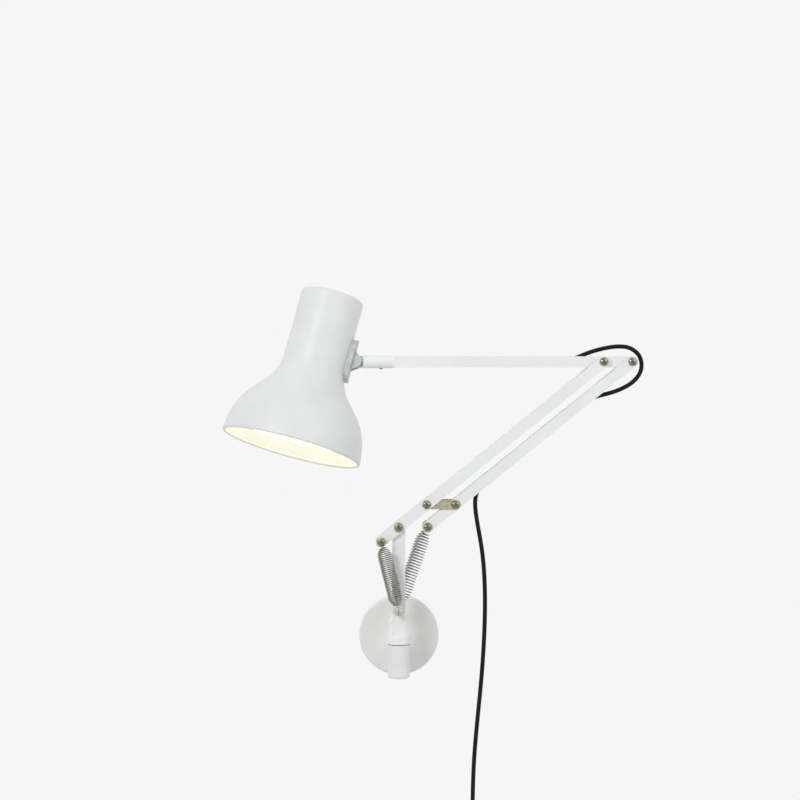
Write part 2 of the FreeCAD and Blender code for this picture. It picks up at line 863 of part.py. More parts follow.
        pivot, joint, elbow = (at(self.arm, x, turn=FORWARD) for x in (0, link, end))
        post = at(self.arm, lever, turn=FORWARD)
        washer = outer + s["washer_thickness"]
        rear = -outer
        tail = rear - s["nut_height"] - 0.6
        head = self.hook_high + s["washer_thickness"]
        screws = [
            screw("lower_pivot_screw", pivot, tail, washer, s),
            screw("lower_link_screw", joint, tail, outer, s),
            screw("lower_elbow_screw", elbow, tail, outer, s),
            screw("lower_spring_screw", post, inner - s["thin_nut"] - 0.3, head, s),
        ]
        group("lower_arm_screws", screws)
        nuts = [
            nut(f"lower_nut_{i}", place, rear, s)
            for i, place in enumerate((pivot, joint, elbow))
        ]
        nuts.append(nut("lower_spring_nut", post, inner, s, s["thin_nut"]))
        group("lower_arm_nuts", nuts)
        bore, radius = s["pin_radius"] + s["fixed_fit"], s["washer_radius"]
        washers = [
            ring("lower_pivot_washer", pivot, outer, washer, radius, bore),
            ring("lower_spring_washer", post, self.hook_high, head, radius, bore),
        ]
        group("lower_arm_washers", washers)
        sub_part(ring("front_spring_sleeve", post, outer, self.hook_low, s["sleeve_radius"], bore))
        spacers = []
        for where, place, face in (
            ("pivot", pivot, s["upright_depth"] / 2),
            ("elbow", elbow, s["forearm_width"] / 2),
        ):
            low, high = face + s["play"], inner - s["play"] / 2
            radius = s["spacer_radius"]
            spacers.append(ring(f"lower_{where}_front", place, low, high, radius, bore))
            spacers.append(ring(f"lower_{where}_rear", place, -high, -low, radius, bore))
        group("lower_arm_spacers", spacers)

    def balance_arm(self):
        s = self.s
        link, end = s["link_place"], s["arm_length"]
        inner, outer = self.balance_inner, self.balance_outer
        start = -s["arm_end"]
        places, opening = [0, link, end], s["pivot_opening"]
        self.pressed_arm("balance_arm", self.balance, start, inner, outer, places, opening)

        post, joint, elbow = (at(self.balance, x, turn=FORWARD) for x in (0, link, end))
        washer = outer + s["washer_thickness"]
        far = -self.hook_high - s["washer_thickness"]
        link_seat = self.link_outer + s["play"]
        tail = s["nut_height"] + 0.6
        screws = [
            screw("balance_spring_screw", post, far - tail, washer, s),
            screw("balance_link_screw", joint, -link_seat - tail, link_seat, s),
            screw("balance_elbow_screw", elbow, -outer - tail, outer, s),
        ]
        group("balance_arm_screws", screws)
        nuts = [
            nut("balance_spring_nut", post, far, s),
            nut("balance_link_nut", joint, -link_seat, s),
            nut("balance_elbow_nut", elbow, -outer, s),
        ]
        group("balance_arm_nuts", nuts)
        bore, radius = s["pin_radius"] + s["fixed_fit"], s["washer_radius"]
        washers = [
            ring("balance_washer_front", post, outer, washer, radius, bore),
            ring("balance_washer_rear", post, far, -self.hook_high, radius, bore),
        ]
        group("balance_arm_washers", washers)
        sleeve = s["sleeve_radius"]
        sub_part(ring("rear_spring_sleeve", post, -self.hook_low, -outer, sleeve, bore))
        low, high = s["forearm_width"] / 2 + s["play"], inner - s["play"] / 2
        spacer = s["spacer_radius"]
        spacers = [
            ring("balance_elbow_front", elbow, low, high, spacer, bore),
            ring("balance_elbow_rear", elbow, -high, -low, spacer, bore),
            ring("balance_link_tube", joint, -high, high, sleeve, bore),
        ]
        group("balance_arm_spacers", spacers)

        grommets = []
        depth, fill = s["cord_depth"], s["play"] / 2
        for name, place in (("lower", s["lower_grommet"]), ("upper", s["upper_grommet"])):
            block = Piece(f"{name}_grommet", self.balance)
            low = -s["arm_width"] / 2 + 0.6
            high = s["arm_width"] / 2 - s["arm_sheet"] - fill
            side = inner - fill
            face = block.outline("YZ", rectangle(-side, low, side, high), lift=place)
            block.pad(face, s["grommet_length"])
            hole = [(0, depth, s["cord_radius"] + s["fixed_fit"])]
            end_face = place + s["grommet_length"] + BIG
            block.pocket(block.circles("YZ", hole, lift=end_face), s["grommet_length"] + 2 * BIG)
            grommets.append(block.body)
        group("cord_grommets", grommets)

    def link(self):
        s = self.s
        half, length = s["link_width"] / 2, s["link_length"]
        plates = []
        for name, lift in (("front", self.link_inner), ("rear", -self.link_outer)):
            plate = Piece(f"link_plate_{name}", self.link_frame)
            face = plate.outline("XZ", rectangle(-half, -half, length + half, half), lift=lift)
            plate.pad(face, s["link_sheet"])
            plate.round(along_y, half * 0.96)
            ends = [(0, 0, self.bore), (length, 0, self.bore)]
            cut_from = as_size(lift) - BIG
            holes = plate.circles("XZ", ends, lift=cut_from)
            plate.pocket(holes, s["link_sheet"] + 2 * BIG, reverse=True)
            plates.append(plate.body)
        group("link_plates", plates)
        frame = at(self.link_frame, turn=FORWARD)
        reach = self.link_inner - s["play"] / 2
        sub_part(ring("link_tube", frame, -reach, reach, s["sleeve_radius"], self.bore))

    # --- springs

    def springs(self, radius, wire):
        s = self.s
        offset = s["spring_offset"].number
        anchor = at(self.lamp, 0, 0, s["anchor_height"]).Base
        lever = at(self.arm, -s["lever_length"]).Base
        tail = self.balance.Base
        front, rear = Vector(0, -offset, 0), Vector(0, offset, 0)
        for name, top, side, turns in (
            ("front_spring", lever, front, s["front_turns"]),
            ("rear_spring", tail, rear, s["rear_turns"]),
        ):
            path = self.spring_path(anchor + side, top + side, radius, wire, int(turns.number))
            sub_part(solid(name, tube(path, wire / 2, sides=4)))
            print(f"{name}: least gap {least_gap(path, wire, wire / 2):.2f} mm")

    def spring_path(self, low, high, radius, wire, turns):
        """An extension spring: a hook round each pin, and between them a coil with drawn-in ends."""
        s = self.s
        lead = s["spring_lead"].number
        ring_radius = s["pin_radius"].number + wire / 2 + s["hook_gap"].number
        axis = (high - low).normalize()
        deep = Vector(0, 1, 0)
        side = deep.cross(axis)
        length = (high - low).Length - 2 * lead
        tapered = 1.5  # turns over which each end draws in
        slim = 0.35  # the radius at the very end, as a share of the coil's

        def coil(t):
            near_end = min(t, turns - t) / tapered
            spread = radius * (slim + (1 - slim) * min(1, max(0, near_end)))
            turn = 2 * math.pi * t
            around = side * math.cos(turn) + deep * math.sin(turn)
            return low + axis * (lead + length * t / turns) + around * spread

        steps = [i / 2 for i in range(2 * turns + 1)]
        body = [(coil(t), direction(coil, t)) for t in steps]
        first = self.hook(low, axis, side, ring_radius)
        last = self.hook(high, -axis, side, ring_radius)
        last = [(point, -ahead) for point, ahead in reversed(last)]
        return arcs_through([*first, *body, *last])

    @staticmethod
    def hook(pin, axis, side, radius):
        """Stations round a pin, from the hook's free end to where it leaves for the coil."""
        stations = []
        for angle in (40, 105, 170, 235, 300):
            turn = math.radians(angle)
            point = pin + axis * (radius * math.cos(turn)) + side * (radius * math.sin(turn))
            stations.append((point, side * math.cos(turn) - axis * math.sin(turn)))
        stations.append((pin + axis * (radius * 2.3), axis))
        return stations

    # --- forearm and the joint at the shade

    def forearm(self):
        s = self.s
        half = s["forearm_width"] / 2
        start = -s["forearm_reach"] + s["knuckle_collar_end"] + s["play"] + s["ferrule_length"]
        end = s["link_length"] + s["forearm_tail"]
        bar = Piece("forearm", self.elbow)
        bar.pad(bar.outline("YZ", rectangle(-half, -half, half, half), lift=start), end - start)
        tail = end.number - 1e-3
        bar.round(lambda e: along_y(e) and e.CenterOfMass.x > tail, s["tail_round"])
        room = half - s["forearm_wall"]
        inside = bar.outline("YZ", rectangle(-room, -room, room, room), lift=start - BIG)
        bar.pocket(inside, s["link_length"] - start + BIG - 4, reverse=True)
        pins = [(0, 0, self.bore), (s["link_length"], 0, self.bore)]
        bar.pocket(bar.circles("XZ", pins), s["forearm_width"] + BIG, middle=True)
        slot_end = s["slot_start"] + s["slot_length"]
        wide = s["slot_width"] / 2
        slot = rectangle(s["slot_start"], -wide, slot_end, wide)
        bar.pocket(bar.outline("XY", slot, lift=half + BIG), s["forearm_wall"] + BIG)
        sub_part(bar.body)

        face = start - s["ferrule_length"]
        round_end = face + s["ferrule_round_part"]
        ferrule = Piece("ferrule", self.elbow)
        barrel = ferrule.circles("YZ", [(0, 0, s["ferrule_radius"])], lift=face)
        ferrule.pad(barrel, s["ferrule_round_part"])
        circle = ferrule.circles("YZ", [(0, 0, s["ferrule_radius"])], lift=round_end)
        square = ferrule.outline("YZ", rectangle(-half, -half, half, half), lift=start - s["play"] / 2)
        ferrule.loft(circle, square)
        fit = room - s["play"] / 2
        spigot = ferrule.outline("YZ", rectangle(-fit, -fit, fit, fit), lift=start - BIG)
        ferrule.pad(spigot, s["ferrule_spigot"] + BIG)
        bore = s["knuckle_radius"] + s["running_fit"]
        hole = ferrule.circles("YZ", [(0, 0, bore)], lift=face - BIG)
        whole = s["ferrule_length"] + s["ferrule_spigot"] + 2 * BIG
        ferrule.pocket(hole, whole, reverse=True)
        place = -s["forearm_reach"] + s["ferrule_screw_place"]
        tapped = s["ferrule_screw_radius"] + s["fixed_fit"]
        cross = ferrule.circles("XY", [(place, 0, tapped)])
        ferrule.pocket(cross, s["ferrule_radius"] + BIG)
        sub_part(ferrule.body)

        down = at(self.elbow, place, 0, 0, Rotation(Vector(1, 0, 0), 180))
        stop = Piece("roll_stop_screw", down)
        tip = s["knuckle_radius"] - s["knuckle_groove"] + s["play"]
        outside = s["ferrule_radius"] + s["play"] / 2
        radius = s["ferrule_screw_radius"]
        profile = [
            (0, tip),
            (radius, tip),
            (radius, outside),
            (radius * 1.25, outside),
            (radius * 1.25, outside + 0.7),
            (radius * 0.8, outside + 1.1),
            (0, outside + 1.1),
        ]
        stop.spin(stop.outline("XZ", profile))
        sub_part(stop.body)

    def knuckle(self):
        s = self.s
        radius, groove = s["knuckle_radius"], s["knuckle_radius"] - s["knuckle_groove"]
        start, end = s["knuckle_collar_start"], s["knuckle_collar_end"]
        screw_half = s["ferrule_screw_radius"] + s["play"]
        low, high = s["ferrule_screw_place"] - screw_half, s["ferrule_screw_place"] + screw_half
        profile = [
            (start, 0),
            (start, s["knuckle_collar"]),
            (end, s["knuckle_collar"]),
            (end, radius),
            (low, radius),
            (low, groove),
            (high, groove),
            (high, radius),
            (s["knuckle_length"] - 1, radius),
            (s["knuckle_length"], radius - 1),
            (s["knuckle_length"], 0),
        ]
        knuckle = Piece("knuckle", self.hub)
        knuckle.spin(knuckle.outline("XZ", profile), axis="X")
        wide = s["knuckle_round"]
        knuckle.pad(knuckle.circles("XZ", [(0, 0, wide)]), s["knuckle_width"], middle=True)
        arm = rectangle(0, -wide, start + 0.3, wide)
        knuckle.pad(knuckle.outline("XZ", arm), s["knuckle_width"], middle=True)
        pin = knuckle.circles("XZ", [(0, 0, self.bore)])
        knuckle.pocket(pin, s["knuckle_width"] + BIG, middle=True)
        sub_part(knuckle.body)

    def bracket(self):
        """The cast bracket on the shade's neck: a saddle that hugs it, and two ears for the pin."""
        s = self.s
        inner = s["neck_radius"] + s["saddle_gap"]
        outer = inner + s["saddle_thickness"]
        face = outer - s["shade_offset"]
        low, high = -s["saddle_below"], s["saddle_above"]
        half = s["saddle_width"] / 2
        sleeve = DOC.addObject("Part::Cylinder", "saddle_sleeve")
        bind(sleeve, "Radius", outer)
        bind(sleeve, "Height", high - low + 2 * BIG)
        sleeve.Placement = at(self.head, -s["shade_offset"], 0, low - BIG)
        blank = Piece("saddle_blank", self.head)
        blank.pad(blank.outline("YZ", rectangle(-half, low, half, high), lift=face + BIG),
                  s["saddle_thickness"] * 2 + BIG, reverse=True)
        blank.round(along_x, s["saddle_round"])
        pad = DOC.addObject("Part::MultiCommon", "saddle_pad")
        pad.Shapes = [sleeve, blank.body]
        saddle = DOC.addObject("Part::Cut", "saddle")
        saddle.Base, saddle.Tool = pad, self.saddle_seat(inner)

        ears = Piece("ears", self.head)
        deep = s["knuckle_width"] + 2 * (s["play"] + s["ear_width"])
        foot, lean = s["ear_foot"], s["ear_radius"]
        side = (face - 0.5, foot)
        body = [
            (side[0], -foot),
            (face, -foot),
            (lean * 0.5, -lean * 0.866),
            (lean * 0.5, lean * 0.866),
            (face, foot),
            side,
        ]
        ears.pad(ears.outline("XZ", body, arcs={2: lean}), deep, middle=True)
        joined = DOC.addObject("Part::MultiFuse", "saddle_and_ears")
        joined.Shapes = [saddle, ears.body]

        slot = Piece("ear_slot", self.head)
        back = inner - s["shade_offset"]
        tall = lean + 3
        cut = rectangle(back - 3, -tall, lean + BIG, tall)
        slot.pad(slot.outline("XZ", cut), s["knuckle_width"] + 2 * s["play"], middle=True)
        pin = Piece("ear_hole", self.head)
        pin.pad(pin.circles("XZ", [(0, 0, s["pin_radius"] + s["fixed_fit"])]), deep + BIG, middle=True)
        place, drill = s["saddle_screw_place"], s["saddle_screw_radius"] + s["screw_room"]
        holes = []
        for i, height in enumerate((-place, place)):
            hole = DOC.addObject("Part::Cylinder", f"saddle_hole_{i}")
            bind(hole, "Radius", drill)
            bind(hole, "Height", 4 + s["saddle_thickness"] * 0.8)
            hole.Placement = at(self.head, back - 4, 0, height, Rotation(Vector(0, 1, 0), 90))
            holes.append(hole)
        tools = DOC.addObject("Part::MultiFuse", "bracket_cuts")
        tools.Shapes = [slot.body, pin.body]
        slotted = DOC.addObject("Part::Cut", "slotted_bracket")
        slotted.Base, slotted.Tool = joined, tools
        drills = DOC.addObject("Part::Compound", "saddle_holes")
        drills.Links = holes
        bracket = DOC.addObject("Part::Cut", "shade_bracket")
        bracket.Label = "shade_bracket"
        bracket.Base, bracket.Tool = slotted, drills
        sub_part(bracket)

        rod = DOC.addObject("Part::Cylinder", "tilt_pin")
        rod.Label = "tilt_pin"
        bind(rod, "Radius", s["pin_radius"])
        bind(rod, "Height", deep)
        rod.Placement = at(self.head, 0, deep / 2, 0, FORWARD)
        sub_part(rod)

        fasteners = []
        wall = s["neck_radius"] - s["shade_wall"]
        turn = Rotation(Vector(0, 1, 0), 90)
        radius = s["saddle_screw_radius"]
        for i, height in enumerate((-place, place)):
            made = Piece(f"bracket_screw_{i}", at(self.head, -s["shade_offset"], 0, height, turn))
            seat = wall - s["play"] / 2
            tip = inner + s["saddle_thickness"] * 0.7
            profile = [
                (0, seat - 1.8),
                (radius, seat - 1.8),
                (radius * 2, seat - 0.9),
                (radius * 2, seat - 0.4),
                (radius, seat - 0.4),
                (radius, tip),
                (0, tip),
            ]
            made.spin(made.outline("XZ", profile))
            fasteners.append(made.body)
        group("bracket_neck_screws", fasteners)

    def saddle_seat(self, radius):
        """The neck and the start of its flare, a hair larger, to cut the saddle's seat with."""
        s = self.s
        gap = radius - s["neck_radius"]
        out, down = self.flare_out / self.flare, self.flare_down / self.flare
        reach = s["neck_flare"] * self.neck_turn
        bend, low = reach - s["neck_length"], -s["shoulder_place"]
        flare = (
            s["neck_radius"] + out * reach + gap * down,
            -s["neck_length"] - down * reach + gap * out,
        )
        foot = flare[0] + (flare[1] - low) * out / down
        profile = [(0, 0), (0, low), (foot, low), flare, (radius, bend), (radius, 0)]
        seat = Piece("saddle_seat", self.shade_frame)
        seat.spin(seat.outline("XZ", profile, arcs={3: gap - s["neck_flare"]}))
        return seat.body

    # --- shade, lampholder, lamp and switch

    def shade(self):
        s = self.s
        neck, mouth, wall = s["neck_radius"], s["mouth_radius"], s["shade_wall"]
        bend, shoulder = s["shoulder_place"], s["shoulder_radius"]
        bottom = -s["mouth_place"]
        crown = neck - s["shade_edge"]
        rise = s["shade_dome"]
        dome = (crown * crown + rise * rise) / (2 * rise)

        # the flare and the skirt, each as a direction out and down, and the turn between them
        out, down = self.flare_out / self.flare, self.flare_down / self.flare
        skirt_out, skirt_down = mouth - shoulder, s["mouth_place"] - bend
        skirt = root(skirt_out * skirt_out + skirt_down * skirt_down)
        slope_out, slope_down = skirt_out / skirt, skirt_down / skirt
        turn = (out * slope_down - down * slope_out) / (1 + out * slope_out + down * slope_down)

        # where each bend's arc starts and ends, and the same places on the wall's inner side
        flare_reach = s["neck_flare"] * self.neck_turn
        curve_reach = s["shoulder_curve"] * turn
        neck_end = (neck, -s["neck_length"] + flare_reach)
        flare_start = (neck + out * flare_reach, -s["neck_length"] - down * flare_reach)
        flare_end = (shoulder - out * curve_reach, -bend + down * curve_reach)
        skirt_start = (shoulder + slope_out * curve_reach, -bend - slope_down * curve_reach)
        inner_neck_end = (neck_end[0] - wall, neck_end[1])
        inner_flare_start = (flare_start[0] - wall * down, flare_start[1] - wall * out)
        inner_flare_end = (flare_end[0] - wall * down, flare_end[1] - wall * out)
        inner_skirt_start = (
            skirt_start[0] - wall * slope_down,
            skirt_start[1] - wall * slope_out,
        )
        top_lip = bottom + s["lip_height"]
        inner_mouth = mouth - wall / slope_down - s["lip_height"] * skirt_out / skirt_down

        lip = mouth - s["lip_width"]
        hole = s["switch_neck"] + s["play"]
        profile = [
            (hole, rise - wall),
            (crown, -wall),
            (neck - wall, -s["shade_edge"]),
            inner_neck_end,
            inner_flare_start,
            inner_flare_end,
            inner_skirt_start,
            (inner_mouth, top_lip),
            (lip, top_lip),
            (lip, bottom),
            (mouth, bottom),
            skirt_start,
            flare_end,
            flare_start,
            neck_end,
            (neck, -s["shade_edge"]),
            (crown, 0),
            (hole, rise),
        ]
        arcs = {
            3: s["neck_flare"] + wall,
            5: wall - s["shoulder_curve"],
            11: s["shoulder_curve"],
            13: -s["neck_flare"],
            15: s["shade_edge"] * 1.4,
            16: dome,
        }
        shade = Piece("shade", self.shade_frame)
        shade.spin(shade.outline("XZ", profile, arcs=arcs))
        for edge in (lip, mouth):
            shade.bevel(circle_at("z", bottom, edge), s["lip_height"] * 0.3)
        drill = s["saddle_screw_radius"] + s["fixed_fit"]
        place, above = s["saddle_screw_place"], s["shade_above"]
        holes = [(0, -above - place, drill), (0, -above + place, drill)]
        neck_holes = shade.circles("YZ", holes, lift=neck - wall - BIG)
        shade.pocket(neck_holes, wall + 2 * BIG, reverse=True)
        sub_part(shade.body)

    def light(self):
        s = self.s
        seat = s["shade_dome"] - s["shade_wall"] - 1.1
        neck_top = s["shade_dome"] + 0.4
        bottom = seat - s["switch_depth"]
        bore = s["button_radius"] + s["running_fit"]
        floor = neck_top - 6.0
        profile = [
            (0, bottom),
            (s["switch_radius"], bottom),
            (s["switch_radius"], seat),
            (s["switch_neck"], seat),
            (s["switch_neck"], neck_top),
            (bore, neck_top),
            (bore, floor),
            (0, floor),
        ]
        housing = Piece("switch_housing", self.shade_frame)
        housing.spin(housing.outline("XZ", profile))
        sub_part(housing.body)

        radius = s["button_radius"]
        high = neck_top + s["button_height"] + 0.4
        low = floor + s["button_travel"] + 0.2
        profile = [(0, low), (radius, low), (radius, high - 0.8), (radius - 0.8, high), (0, high)]
        button = Piece("switch_button", self.shade_frame)
        button.spin(button.outline("XZ", profile))
        sub_part(button.body)

        top = bottom - s["play"] / 2
        end = top - s["holder_length"]
        cap_bore = s["lamp_cap_radius"] + s["play"]
        cap_top = end + s["lamp_cap_length"]
        profile = [
            (0, top),
            (s["holder_radius"] - 3, top),
            (s["holder_radius"], top - 5),
            (s["holder_radius"], end),
            (cap_bore, end),
            (cap_bore, cap_top),
            (0, cap_top),
        ]
        holder = Piece("lampholder", self.shade_frame)
        holder.spin(holder.outline("XZ", profile))
        sub_part(holder.body)

        cap = s["lamp_cap_radius"]
        profile = [
            (0, end),
            (cap, end),
            (cap, cap_top - 5),
            (cap * 0.5, cap_top - s["play"]),
            (0, cap_top - s["play"]),
        ]
        base = Piece("bulb_cap", self.shade_frame)
        base.spin(base.outline("XZ", profile))
        sub_part(base.body)

        neck, front = cap * 1.05, s["lamp_radius"]
        upper = end - s["play"] / 2
        shoulder = upper - s["lamp_neck"]
        rim = shoulder - s["lamp_flare"]
        face = rim - s["lamp_rim"]
        profile = [
            (0, upper),
            (0, face - s["lamp_crown"]),
            (front * 0.55, face - s["lamp_crown"] * 0.75),
            (front, face),
            (front, rim),
            (neck, shoulder),
            (neck, upper),
        ]
        bulb = Piece("bulb", self.shade_frame)
        bulb.spin(bulb.outline("XZ", profile))
        sub_part(bulb.body)

    # --- cords

    def cords(self):
        s = self.s
        radius = s["cord_radius"].number
        depth = s["cord_depth"]

        lower = at(self.balance, s["lower_grommet"], 0, depth).Base
        upper = at(self.balance, s["upper_grommet"] + s["grommet_length"], 0, depth).Base
        along = (upper - lower).normalize()
        run = Part.Wire([Part.LineSegment(lower, upper).toShape()])
        sub_part(solid("arm_cord", tube(run, radius)))

        floor = s["forearm_width"] / 2 - s["forearm_wall"] - s["cord_radius"] - s["play"] / 2
        left = -s["forearm_reach"] + s["knuckle_length"] + 1
        right = s["slot_start"] - 8
        start, end = at(self.elbow, left, 0, -floor).Base, at(self.elbow, right, 0, -floor).Base
        run = Part.Wire([Part.LineSegment(start, end).toShape()])
        sub_part(solid("forearm_cord", tube(run, radius)))

        out = -s["standoff"].number
        loop = [end, *(Vector(x, out, z) for x, z in ELBOW_ROUTE), upper + along * 11, upper]
        self.cord("elbow_cord", loop, radius)

        coil_path, entry = self.coil_path()
        hang = [lower, lower - along * 6.5, *(Vector(x, out, z) for x, z in HANGING_ROUTE)]
        bend = [entry + Vector(x, 0, z) for x, z in COIL_ENTRY]
        self.cord("mains_cord", [*hang, *bend, entry], radius)

        diameter = 2 * radius
        made = tube(coil_path, radius, sides=6)
        sub_part(solid("cord_coil", made))
        print(f"cord_coil: {coil_path.Length:.0f} mm of cord, "
              f"least gap {least_gap(coil_path, diameter, 4):.2f} mm")
        self.tie()
        self.plug(coil_path)

    @staticmethod
    def cord(name, points, radius):
        """A free stretch of cord along a route, with its radii and volume printed."""
        path, radii = route(points)
        made = tube(path, radius, sides=CORD_SIDES)
        section = CORD_SIDES / 2 * radius**2 * math.sin(2 * math.pi / CORD_SIDES)
        share = made.Volume / (section * path.Length)
        print(f"{name}: {path.Length:.0f} mm, radii from {min(radii):.1f} mm, volume {share:.4f}")
        sub_part(solid(name, made))

    def coil_path(self):
        """The put-away length: turns that spiral in and out again, layer beside layer."""
        s = self.s
        turns, layers = int(s["coil_turns"].number), int(s["coil_layers"].number)
        pitch, middle = s["coil_pitch"].number, s["coil_radius"].number
        out = -s["standoff"].number
        widest = middle + turns * pitch / 2
        centre = Vector(COIL_TOP[0], out, COIL_TOP[1] - widest)
        total = turns * layers + 0.25

        def coil(t):
            """The cord after t turns from the top, going left first as the room sees it."""
            layer = min(layers - 1, max(0, int(t // turns)))
            within = t - layer * turns
            inward = within if layer % 2 == 0 else turns - within
            spread = widest - pitch * inward
            climb = layer * pitch
            edge = (t + 0.25) % turns
            number = round((t - edge + 0.25) / turns)
            if edge < 0.5 and 0 < number < layers:
                climb = pitch * (number - 0.5 - 0.5 * math.cos(2 * math.pi * edge))
            turn = math.radians(90) + 2 * math.pi * t
            return centre + Vector(spread * math.cos(turn), climb, spread * math.sin(turn))

        steps = [*(i / 2 for i in range(int(2 * total) + 1)), total]
        stations = [(coil(t), direction(coil, t)) for t in steps]
        first, last = stations[0], stations[-1]
        lead = 2 * s["cord_radius"].number
        entry = first[0] - Vector(-lead, 0, 0)
        stations[0] = (first[0], Vector(-1, 0, 0))
        stations[-1] = (last[0], Vector(0, 0, -1))
        tail = last[0] + Vector(0, 0, -lead)
        edges = arcs_through(stations).Edges
        edges.insert(0, Part.LineSegment(entry, first[0]).toShape())
        edges.append(Part.LineSegment(last[0], tail).toShape())
        self.coil_centre, self.coil_widest = centre, widest
        return Part.Wire(edges), entry

    def tie(self):
        """The strap round the coil's turns."""
        s = self.s
        pitch, layers = s["coil_pitch"].number, s["coil_layers"].number
        cord, room = s["cord_radius"].number, 0.6
        inner = self.coil_widest - s["coil_turns"].number * pitch - pitch / 4 - cord - room
        outer = self.coil_widest + cord + room
        deep = (layers - 1) * pitch + 2 * (cord + room)
        width, thick = s["tie_width"].number, s["tie_thickness"].number
        low = -cord - room
        band = Part.makeBox(width, deep + 2 * thick, outer - inner + 2 * thick,
                            Vector(-width / 2, low - thick, inner - thick))
        gap = Part.makeBox(width + 2, deep, outer - inner, Vector(-width / 2 - 1, low, inner))
        turn = Rotation(Vector(0, 1, 0), -40)
        sub_part(solid("cord_tie", band.cut(gap), Placement(self.coil_centre, turn)))

    def plug(self, coil_path):
        """A flat two-pin plug on the coil's end, with its tapered strain relief."""
        s = self.s
        tip = coil_path.Edges[-1].Vertexes[-1].Point
        here = Placement(tip, Rotation(Vector(1, 0, 0), 180))
        cord, relief = s["cord_radius"], s["relief_length"]
        wide, thick, length = s["plug_width"] / 2, s["plug_thickness"] / 2, s["plug_length"]
        sleeve = Piece("strain_relief", here)
        profile = [(0, 0), (cord + 0.8, 0), (cord + 2.2, relief), (0, relief)]
        sleeve.spin(sleeve.outline("XZ", profile))
        sub_part(sleeve.body)

        body = Piece("plug_body", here)
        shape = [
            (-wide * 0.45, relief),
            (wide * 0.45, relief),
            (wide, relief + length * 0.45),
            (wide, relief + length),
            (-wide, relief + length),
            (-wide, relief + length * 0.45),
        ]
        body.pad(body.outline("XZ", shape), thick * 2, middle=True)
        body.round(along_y, 3.0)
        sub_part(body.body)
        pins = []
        for i, side in enumerate((-0.5, 0.5)):
            start = relief + length
            place = at(here, s["plug_pin_spacing"] * side, 0, start)
            made = Piece(f"plug_pin_{i}", place)
            radius, reach = s["plug_pin_radius"], s["plug_pin_length"]
            profile = [(0, 0), (radius, 0), (radius, reach - 1), (radius - 1, reach), (0, reach)]
            made.spin(made.outline("XZ", profile))
            pins.append(made.body)
        group("plug_pins", pins)


# The free cord's routes, as x and z in the arms' plane
ELBOW_ROUTE = [
    (149.0, 255.6),
    (158.0, 258.6),
    (167.0, 262.7),
    (176.0, 266.4),
    (188.0, 269.8),
    (201.0, 272.0),
    (213.5, 271.0),
    (223.0, 263.0),
    (224.5, 250.5),
    (218.0, 240.0),
    (206.6, 232.9),
    (194.5, 228.5),
]
HANGING_ROUTE = [
    (72.4, 138.1),
    (70.5, 131.8),
    (70.3, 124.3),
    (71.6, 113.5),
    (74.0, 100.0),
    (76.8, 84.0),
    (78.8, 64.0),
    (79.6, 40.0),
    (79.2, 14.0),
    (77.9, -12.0),
    (75.9, -38.0),
    (73.3, -64.0),
    (71.0, -88.0),
    (69.3, -110.0),
    (68.5, -129.0),
    (68.1, -146.0),
    (68.1, -160.5),
]
COIL_ENTRY = [(19.2, 12.8), (16.8, 6.9), (12.3, 2.4), (6.4, 0.0)]  # beside the coil's first turn
COIL_TOP = (45.0, -184.0)


def octagon(width, depth, flat):
    """A rectangle with its corners cut, flat wide at the front and the back."""
    side, front, near = width / 2, depth / 2, flat / 2
    cut = front - (side - near)
    return [
        (-near, -front),
        (near, -front),
        (side, -cut),
        (side, cut),
        (near, front),
        (-near, front),
        (-side, cut),
        (-side, -cut),
    ]


def check():
    """Stops if an object of the document failed or a sub-part isn't a good solid."""
    DOC.recompute()
    for thing in DOC.Objects:
        if "Invalid" in thing.State or "Error" in thing.State:
            raise RuntimeError(f"{thing.Label} failed: {thing.State}")
    for thing in SUB_PARTS:
        shape = thing.Shape
        if shape.isNull() or not shape.isValid() or not shape.Solids or shape.Volume <= 0:
            raise RuntimeError(f"{thing.Label} has no good shape")


def main():
    Lamp()
    check()
    os.makedirs("parts", exist_ok=True)
    for thing in SUB_PARTS:
        thing.Shape.exportStep(f"parts/{thing.Label}.step")
        print(f"{thing.Label}: {len(thing.Shape.Solids)} solid, {thing.Shape.Volume:.0f} mm3")


main()
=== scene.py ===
"""Looks for the articulating wall lamp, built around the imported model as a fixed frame.

Every length is in metres, in the model's own frame: the wall is the plane y = 0, and the room is
on its -Y side. The lamp's arms lie in a plane parallel to the wall.
"""

import json
import math

import bmesh
import bpy
from mathutils import Matrix, Vector

